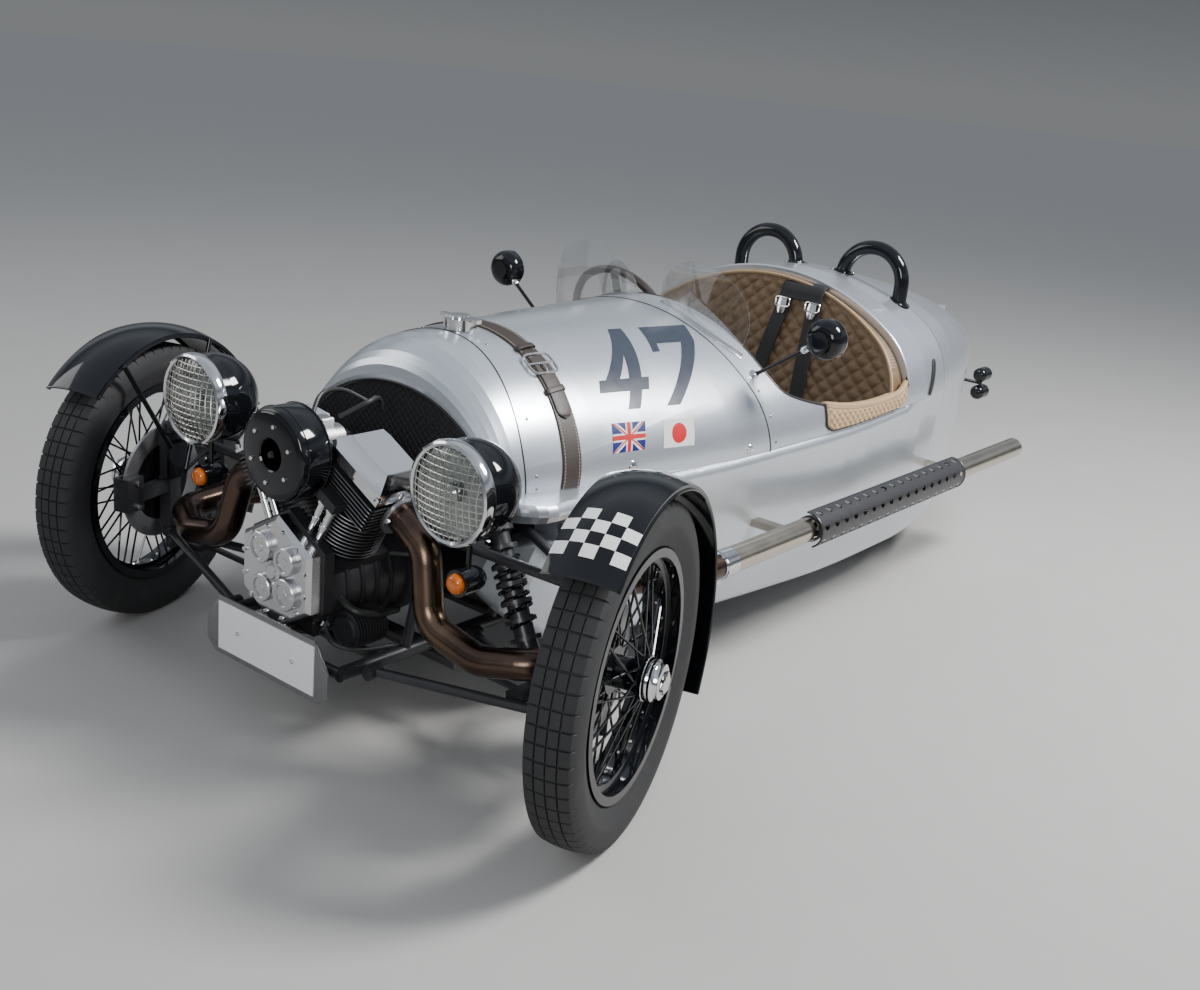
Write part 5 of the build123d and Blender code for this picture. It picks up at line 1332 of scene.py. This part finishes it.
def grille_mesh():
    """Fine diagonal mesh across the mouth: each wire is cut where the arch, drawn in by the lip, ends it."""
    arch = np.linspace(0, 1.5, 120)
    outline = skin_point(np.full(120, 0.1105), arch)
    edge = np.stack([outline[:, 0] - 0.0135, outline[:, 2] - 0.0135 * np.clip(arch - 0.2, 0, 1)], -1)
    t = np.linspace(-0.6, 0.6, 1201)
    middle_z, low_z, pitch, slant = 0.64, 0.5605, 0.0135, 0.7071
    wires = []
    for slope, y in ((1, 0.1128), (-1, 0.1139)):
        for offset in np.arange(-0.62, 0.62, pitch):
            x, z = t * slant + offset * slant, middle_z + slope * (t * slant - offset * slant)
            inside = (np.abs(x) < np.interp(z, edge[:, 1], edge[:, 0], right=-1)) & (z > low_z)
            if inside.sum() > 8:
                ends = np.flatnonzero(inside)[[0, -1]]
                wires.append(tube([(x[i], y, z[i]) for i in (ends[0], ends.mean().astype(int), ends[1])],
                                  0.0009, 5, up=(0, 1, 0)))
    return join(*wires)


def mouth_trim():
    """Edge trim round the mouth, just inside the cowl's lip."""
    arch = np.linspace(0.02, 2.98, 120)
    outline = on_skin(np.full(120, 0.1102), arch)
    centre = np.array((0, 0, 0.62))
    inward = unit((outline - centre) * (1, 0, 1))
    return tube(outline - 0.0135 * inward - (0, 0.0006, 0), 0.003, 8, up=(0, 1, 0))


def add_body_dress():
    # Dark tubes along the bonnet's two joints: painted shadow of the gaps
    make("painted_seam_shadows", painted_seam_shadows(), "black_plastic")
    make("bonnet_studs", bonnet_studs(), "chrome")
    make("skin_rivets", skin_rivets(), "rubbed_alloy")
    make("strap_stitches", strap_stitches(), "thread")
    make("strap_end", strap_end(), "brown_leather")
    # Black discs on the strap's free end: painted shade for its punched holes
    make("strap_hole_shades", strap_hole_shades(), "black_plastic")
    make("strap_keepers", join(keeper(1.18), keeper(1.33)), "brown_leather")
    make("strap_buckle", buckle(), "polished_alloy")
    make("numeral_left", numeral_marks(1), "slate_paint")
    make("numeral_right", numeral_marks(-1), "slate_paint")
    for name, shape, surface in zip(("flag_blue", "flag_white", "flag_red"), crossed_flag(),
                                    ("flag_blue", "white_paint", "flag_red")):
        make(name, shape, surface)
    for name, shape, surface in zip(("disc_field", "disc_red"), disc_flag(), ("white_paint", "flag_red")):
        make(name, shape, surface)
    make("screen_feet", screen_feet(), "polished_alloy")
    make("rear_rim", rear_rim(), "silver_paint")
    make("cockpit_edging", cockpit_edging(), "black_plastic")
    make("latch_straps", latch_straps(), "black_plastic")
    make("grille_mesh", grille_mesh(), "dark_steel")
    make("mouth_trim", mouth_trim(), "black_plastic")


# Cockpit trim

MIRROR_BACK = (0.532, 1.048, 0.848)
TAIL_LAMPS = [(0.218, 2.868, z) for z in (0.411, 0.476)]
SEAT_LEAN = math.radians(13)
SEAT_FOOT, SEAT_FOOT_HALF = 0.232, 0.4466
SEAT_FRONT_Y, SEAT_FRONT_Z = 1.501, 0.239
CUSHION_FOOT = 0.153
PAD_START, PAD_LENGTH = 1.2215, 0.428
DASH_Y = 1.042
STEERING_WHEEL_AT, STEERING_WHEEL_R = (-0.215, 1.19, 0.735), 0.168
COLUMN_TILT = math.radians(22)


def quilt(a, b, pitch, hollow=0.42):
    """Height of a quilted cover: sin(a + b) sin(a - b) over the pitch, raised to a low power.

    So each diamond is a full pillow between narrow sewn channels.
    """
    return np.abs(np.sin(math.pi * (a + b) / pitch) * np.sin(math.pi * (a - b) / pitch)) ** hollow


def seat_face(z):
    """Y of the seat back's front, which leans back by thirteen degrees."""
    return SEAT_FRONT_Y + math.tan(SEAT_LEAN) * (z - SEAT_FRONT_Z)


def seat_rim(s):
    """The seat back's edge: the point where its leaning face meets the body drawn in by 17.5 mm."""
    y = np.full_like(s, 1.6)
    for _ in range(6):
        y = seat_face(on_skin(y, s, -0.0175)[..., 2])
    return on_skin(y, s, -0.0175)


def seat_back_cover():
    """Rows across the seat back from its foot up over the arch; each is a loop, quilted in front only.

    The quilting fades to nothing over 30 mm at the rim, where the cover rounds back by a quarter circle.
    """
    arch = seat_rim(np.linspace(0, 1.5, 110))
    low_z = np.linspace(SEAT_FOOT, arch[0, 2], 80, endpoint=False)
    share = (low_z - SEAT_FRONT_Z) / (arch[0, 2] - SEAT_FRONT_Z)
    low_half = SEAT_FOOT_HALF + (arch[0, 0] - SEAT_FOOT_HALF) * share
    half = np.concatenate([low_half, arch[:, 0]])[:, None]
    z = np.concatenate([low_z, arch[:, 2]])[:, None]
    half[-1] = 0.0002
    even = np.linspace(-1, 1, 220)[None]
    u = 0.35 * np.sin(math.pi / 2 * 0.999 * even) + 0.65 * even
    x = half * u
    rim = np.concatenate([np.stack([half[:, 0], z[:, 0]], -1), np.stack([-half[::-1, 0], z[::-1, 0]], -1)])
    across, rise = x[..., None] - rim[::3, 0], z[..., None] - rim[::3, 1]
    near = np.sqrt(np.min(across ** 2 + rise ** 2, -1))
    near = np.minimum(near, np.maximum(z - SEAT_FOOT, 0))
    fade = np.clip(near / 0.03, 0, 1)
    fade = np.sqrt(1 - (1 - fade) ** 2)
    up = (z - SEAT_FOOT) / math.cos(SEAT_LEAN)
    bulge = fade * (0.004 + 0.009 * quilt(x, up, 0.05) * np.clip(near / 0.02, 0, 1))
    front = np.stack([x, seat_face(z) + 0.006 - bulge, np.broadcast_to(z, x.shape)], -1)
    back_x = half * np.linspace(1, -1, 14)[None]
    back = np.stack([back_x, np.broadcast_to(seat_face(z) + 0.06, back_x.shape),
                     np.broadcast_to(z, back_x.shape)], -1)
    rows = np.concatenate([front, back], 1)
    foot = np.broadcast_to(rows[0].mean(0), rows[0].shape)[None]
    return grid(np.concatenate([foot, rows]), close_columns=True)


def seat_piping():
    """Welt round the seat back's edge."""
    arch = seat_rim(np.linspace(0.02, 2.98, 140))
    return tube(arch + (0, -0.001, 0), 0.0052, 8, up=(0, 1, 0.2))


def cushion_cover(side):
    """One seat's cushion: a crown of (1 - u^6)(1 - v^6) on a flat base, drawn in at its sides and quilted."""
    u, v = np.meshgrid(np.linspace(-1, 1, 110), np.linspace(-1, 1, 150))
    dome = np.clip((1 - u ** 6) * (1 - v ** 6), 0, 1) ** 0.16
    crown = 1 + 0.09 * (1 - u ** 2) * (1 - v ** 2)
    middle_x, middle_y, half, deep, waist = 0.2485, 1.2895, 0.1405, 0.209, 0.02
    x = side * (middle_x + half * u * (1 - waist * (1 - v ** 2)))
    y = middle_y + deep * v * (1 - waist * (1 - u ** 2))
    z = CUSHION_FOOT + 0.137 * dome * crown + 0.006 * quilt(x, y, 0.05) * dome ** 6
    base = np.full_like(z, CUSHION_FOOT)
    top = np.stack([x, y, z], -1)
    bottom = np.stack([x, y, base], -1)[:, ::-1][:, ::8]
    return grid(np.concatenate([top, bottom], 1), close_columns=True)


def cut_height(y):
    """Height of the cockpit's cut at each y past its lowest run."""
    cut_y, cut_z = cut_line()
    return np.interp(y, cut_y, cut_z)


def pad_foot(y, t):
    """Lower edge of the side pad: just above the shoulder, rounded up at both ends."""
    return shoulder_height(y) + 0.006 + 0.02 * np.clip((0.08 - t) / 0.08, 0, 1) ** 2 \
        + 0.034 * np.clip((t - 0.86) / 0.14, 0, 1) ** 2


def side_pad():
    """Padded flap over the cockpit's side: at each y a loop up its outside, over the edge and down inside.

    Its outside is quilted in small diamonds below a smooth roll; both ends and its lower edge are drawn in.
    """
    t = np.linspace(0, 1, 260)[:, None]
    y = PAD_START + PAD_LENGTH * t
    ends = np.clip(np.minimum(t, 1 - t) / 0.045, 0, 1)
    full = np.sqrt(1 - (1 - ends) ** 2)
    top = cut_height(y[:, 0])[:, None] + 0.0015 + 0.022 * np.clip((t - 0.86) / 0.14, 0, 1) ** 1.5
    low = pad_foot(y, t)
    inner = -0.0295 + 0.0195 * np.clip((t - 0.78) / 0.04, 0, 1)
    w = np.linspace(0, 1, 70)[None]
    outside_z = low + (top - low) * w
    soft = np.clip(w / 0.12, 0, 1)
    soft = np.sqrt(1 - (1 - soft) ** 2)
    fade = np.clip((0.86 - w) / 0.06, 0, 1) * np.clip((w - 0.03) / 0.05, 0, 1) \
        * np.clip((ends - 0.3) / 0.5, 0, 1)
    bumps = 0.0042 * quilt(y, outside_z, 0.024, 0.6) * fade
    outside = 0.0015 + 0.0085 * full * soft * (0.72 + 0.28 * np.clip((w - 0.84) / 0.06, 0, 1)) + bumps
    turn = np.linspace(0, math.pi, 16)[None, 1:-1]
    middle, reach = (0.01 * full + 0.0015 + inner) / 2, (0.01 * full + 0.0015 - inner) / 2
    over_lift = middle + reach * np.cos(turn)
    over_z = top + 0.011 * full * np.sin(turn)
    down = np.linspace(1, 0, 16)[None]
    inside_lift = np.broadcast_to(inner, (len(t), 16))
    inside_z = low + (top - low) * down
    lift = np.concatenate([np.broadcast_to(outside, outside_z.shape), over_lift, inside_lift], 1)
    z = np.concatenate([outside_z, over_z, inside_z], 1)
    places = np.broadcast_to(y, z.shape)
    s = at_height(places.ravel(), z.ravel()).reshape(z.shape)
    points = on_skin(places, s, lift)
    first, last = points[:1].mean(1, keepdims=True), points[-1:].mean(1, keepdims=True)
    shape = points.shape[1]
    points = np.concatenate([np.repeat(first, shape, 1), points, np.repeat(last, shape, 1)])
    return grid(points, close_columns=True)


def pad_piping():
    """Dark welt down the pad's front end and along its lower edge."""
    t = np.concatenate([np.zeros(14), np.linspace(0.005, 0.985, 70)])
    y = PAD_START + PAD_LENGTH * t
    low = pad_foot(y, t)
    z = low.copy()
    z[:14] = np.linspace(cut_height(y[:1])[0] + 0.002, low[0], 14)
    return both(tube(on_skin(y, at_height(y, z), 0.0028), 0.0026, 8, up=(1, 0.1, 0.05)))


def belts():
    """Two black belts lying down the seat back."""
    shapes = []
    for top, low in (((0.062, 0.838), (0.022, 0.6)), ((0.157, 0.84), (0.176, 0.5))):
        t = np.linspace(0, 1, 40)[:, None]
        x, z = top[0] + (low[0] - top[0]) * t, top[1] + (low[1] - top[1]) * t
        wave = 0.0014 * np.sin(t * 9.0)
        path = np.concatenate([x, seat_face(z) - 0.0135 + wave, z], 1)
        shapes.append(ribbon(path, 0.047, 0.0024, (0, -1, 0.23)))
    return join(*shapes)


def belt_flap():
    """Cloth flap that comes over the seat back's top and hangs a little way down its face."""
    knots = np.array([(0.11, 1.668, 0.868), (0.11, 1.655, 0.8715), (0.11, 1.639, 0.866), (0.11, 1.629, 0.852),
                      (0.11, 1.625, 0.838), (0.11, 1.621, 0.826)])
    path = smooth_path(knots, 8)
    run = np.gradient(path, axis=0)
    out = np.cross(run, (1, 0, 0))
    out *= np.sign(out[:, 2:] - out[:, 1:2] * 2)
    return ribbon(path, 0.145, 0.003, unit(out))


def belt_buckles():
    """Three-bar adjusters: a rounded frame with a bar across, at each belt."""
    shapes = []
    for x, z in ((0.056, 0.812), (0.158, 0.812)):
        a, b = squared_circle(0.024, 0.013, 0.4, 36)
        ring = np.stack([x + a, seat_face(z + b) - 0.0205, z + b], -1)
        shapes.append(tube(ring, 0.0028, 8, closed=True, up=(0, 1, 0)))
        tongue = np.array([(x, seat_face(z - d) - 0.019, z - d) for d in (-0.01, 0.006, 0.02, 0.034)])
        shapes.append(ribbon(tongue, np.array([0.026, 0.03, 0.03, 0.02]), 0.0022, (0, -1, 0.23)))
    return join(*shapes)


def mirror_glass():
    """Mirror face let into the back of each shell: a shallow disc inside a bright ring."""
    glass = [(0, 0.0022), (0.046, 0.0012), (0.046, -0.001)]
    ring = [(0.0445, 0.0), (0.047, 0.0032), (0.0505, 0.0028), (0.0512, 0.0005), (0.0505, -0.002),
            (0.0445, -0.002)]
    return both(lathe(glass, MIRROR_BACK, (0, 1, 0), 40)), both(ring_lathe(ring, MIRROR_BACK, (0, 1, 0), 48))


def mirror_feet():
    """Collars at both ends of each mirror's stalk."""
    foot, head = np.array((0.35, 1.008, 0.72)), np.array(MIRROR_BACK) - (0, 0.024, 0)
    axis = unit(head - foot)
    pad = [(0, 0.011), (0.008, 0.011), (0.0095, 0.008), (0.012, 0.004), (0.015, 0.001), (0.015, -0.004),
           (0, -0.004)]
    neck = [(0, 0.016), (0.0075, 0.015), (0.009, 0.01), (0.0095, 0.0), (0.007, -0.004), (0, -0.004)]
    return both(join(lathe(pad, foot + 0.006 * axis, axis, 24), lathe(neck, foot + 0.16 * axis, axis, 20)))


def hoop_collars():
    """Flanged collar with four cap screws where each hoop goes through the deck."""
    collars, screws = [], []
    deck_y, ring = 1.905, 0.0315
    for x in (0.085, 0.289):
        s = under([x], [deck_y])
        foot, out = on_skin(deck_y, s)[0], outward(np.array([deck_y]), s)[0]
        collars.append(lathe([(0.0225, 0.006), (0.0262, 0.006), (0.0275, 0.003), (0.036, 0.001),
                              (0.037, -0.002), (0.0225, -0.004)], foot, out * 0.75 + (0, 0, 0.25), 40))
        for turn in (0.6, 2.2, 3.9, 5.4):
            place = foot + ring * np.array((math.cos(turn), math.sin(turn), 0))
            level = under([place[0]], [place[1]])
            screws.append((on_skin(place[1], level, 0.0015)[0], out))
    heads = join(*[cap_screws([place], axis, 0.0034, 0.003) for place, axis in screws])
    return both(join(*collars)), both(heads)


def wheel_rim_cover():
    """Leather on the steering wheel: a faintly ribbed torus about the tilted column, laced inside."""
    u, v, w = basis((0, -math.cos(COLUMN_TILT), -math.sin(COLUMN_TILT)))
    centre = np.array(STEERING_WHEEL_AT)
    b = turns(20)[None]
    thick = 0.0115 + 0.0006 * np.cos(6 * b)
    radius = STEERING_WHEEL_R + thick * np.cos(b)
    points = centre + radius[..., None] * circle(turns(160)[:, None], u, v) \
        + (thick * np.sin(b))[..., None] * w
    inner = centre + (STEERING_WHEEL_R - 0.0113) * circle(turns(150), u, v)
    return grid(points, True, True), stitches(inner, unit(centre - inner), 0.0042, 0.0016, 0.0008)


def gauges():
    """Dials on the dashboard: rim, face, needle and ticks, seen from the seats."""
    rims, faces, marks = [], [], []
    for x, z, radius in ((0.0, 0.74, 0.05), (-0.19, 0.75, 0.032), (0.12, 0.755, 0.028)):
        centre = np.array((x, DASH_Y, z))
        rims.append(ring_lathe([(radius - 0.003, 0.0), (radius - 0.001, 0.006), (radius + 0.003, 0.006),
                                (radius + 0.005, 0.001), (radius + 0.004, -0.0004)], centre, (0, 1, 0), 48))
        face = [(0, 0.0018), (radius - 0.002, 0.0018), (radius - 0.002, 0.0)]
        faces.append(lathe(face, centre, (0, 1, 0), 40))
        turn = np.radians(np.linspace(-130, 130, 27))
        out = np.stack([np.sin(turn), np.zeros(27), np.cos(turn)], -1)
        ticks = centre + (0, 0.0019, 0) + out * radius * 0.86
        marks.append(stitches(ticks, np.tile((0.0, 1.0, 0.0), (27, 1)), radius * 0.03, radius * 0.14, 0.0004))
        hand = radius * np.array((math.sin(-1.9), 0, math.cos(-1.9)))
        needle = [centre + (0, 0.0034, 0) + share * hand for share in (-0.2, 0.35, 0.8)]
        marks.append(tube(needle, [0.0016, 0.0013, 0.0006], 6, up=(0, 1, 0)))
    return join(*rims), join(*faces), join(*marks)


def switch_row():
    """Toggle switches along the dashboard: a nut and a tapered lever each."""
    lever = [(0, 0.022), (0.0028, 0.021), (0.0032, 0.018), (0.0016, 0.003), (0.0016, 0), (0, 0)]
    shapes = []
    for x in (0.2, 0.235, 0.27, 0.305):
        shapes.append(hexagons([(x, DASH_Y, 0.735)], (0, 1, 0), 0.008, 0.004))
        shapes.append(lathe(lever, (x, DASH_Y + 0.002, 0.735), (0, 1, -0.35), 12))
    return join(*shapes)


def tail_lamp_lenses():
    """Red lens and bright ring on the back of each tail lamp."""
    shapes, rings = [], []
    for centre in TAIL_LAMPS:
        shapes.append(lathe([(0, 0.0045), (0.008, 0.0042), (0.016, 0.003), (0.0205, 0.0), (0.0205, -0.002)],
                            centre, (0, 1, 0), 32))
        rings.append(ring_lathe([(0.0205, 0.0), (0.0215, 0.0022), (0.0245, 0.002), (0.0262, -0.001),
                                 (0.0255, -0.003), (0.0205, -0.002)], centre, (0, 1, 0), 40))
    return both(join(*shapes)), both(join(*rings))


def coil_spring():
    """Spring round each damper: a helix of eight turns that lie closer at both ends, capped there."""
    top, low, radius, rounds = np.array((0.345, 0.06, 0.565)), np.array((0.53, 0.03, 0.2475)), 0.0285, 8
    u, v, w = basis(top - low)
    length = np.linalg.norm(top - low)
    t = np.linspace(0, 1, 420)
    ease = t + 0.045 * np.sin(TAU * t)
    along = length * (0.3 + 0.5 * ease)
    path = low + radius * circle(TAU * rounds * t, u, v) + along[:, None] * w
    return both(tube(path, 0.0046, 8, up=w))


def add_cockpit():
    back = make("seat_back_cover", seat_back_cover(), "quilt_leather", stands_for=("seat_back",), sharp=60)
    cushions = make("cushion_covers", join(cushion_cover(1), cushion_cover(-1)), "quilt_leather",
                    stands_for=("seat_cushions",), sharp=60)
    pads = make("side_pad_covers", both(side_pad()), "tan_leather", stands_for=("side_pads",), sharp=60)
    make("seat_piping", seat_piping(), "tan_leather")
    make("pad_piping", pad_piping(), "brown_leather")
    make("belts", belts(), "webbing")
    make("belt_flap", belt_flap(), "webbing")
    make("belt_buckles", belt_buckles(), "chrome")
    glass, ring = mirror_glass()
    make("mirror_glass", glass, "chrome")
    make("mirror_rings", ring, "chrome")
    make("mirror_feet", mirror_feet(), "chrome")
    collars, screws = hoop_collars()
    make("hoop_collars", collars, "black_gloss")
    make("hoop_screws", screws, "chrome")
    rim, lace = wheel_rim_cover()
    make("wheel_rim_leather", rim, "brown_leather", body="steering_wheel")
    make("wheel_rim_lacing", lace, "thread", body="steering_wheel")
    rims, faces, marks = gauges()
    make("gauge_rims", rims, "chrome")
    make("gauge_faces", faces, "black_gloss")
    make("gauge_marks", marks, "white_paint")
    make("switches", switch_row(), "chrome")
    lens, ring = tail_lamp_lenses()
    make("tail_lamp_lenses", lens, "red_lens")
    make("tail_lamp_rings", ring, "chrome")
    make("springs", coil_spring(), "black_gloss")


add_camera()
FINISHES = make_finishes()
add_studio()
add_tyres()
add_wheels_and_wings()
add_lamps()
add_engine()
add_exhaust()
add_body_dress()
add_cockpit()
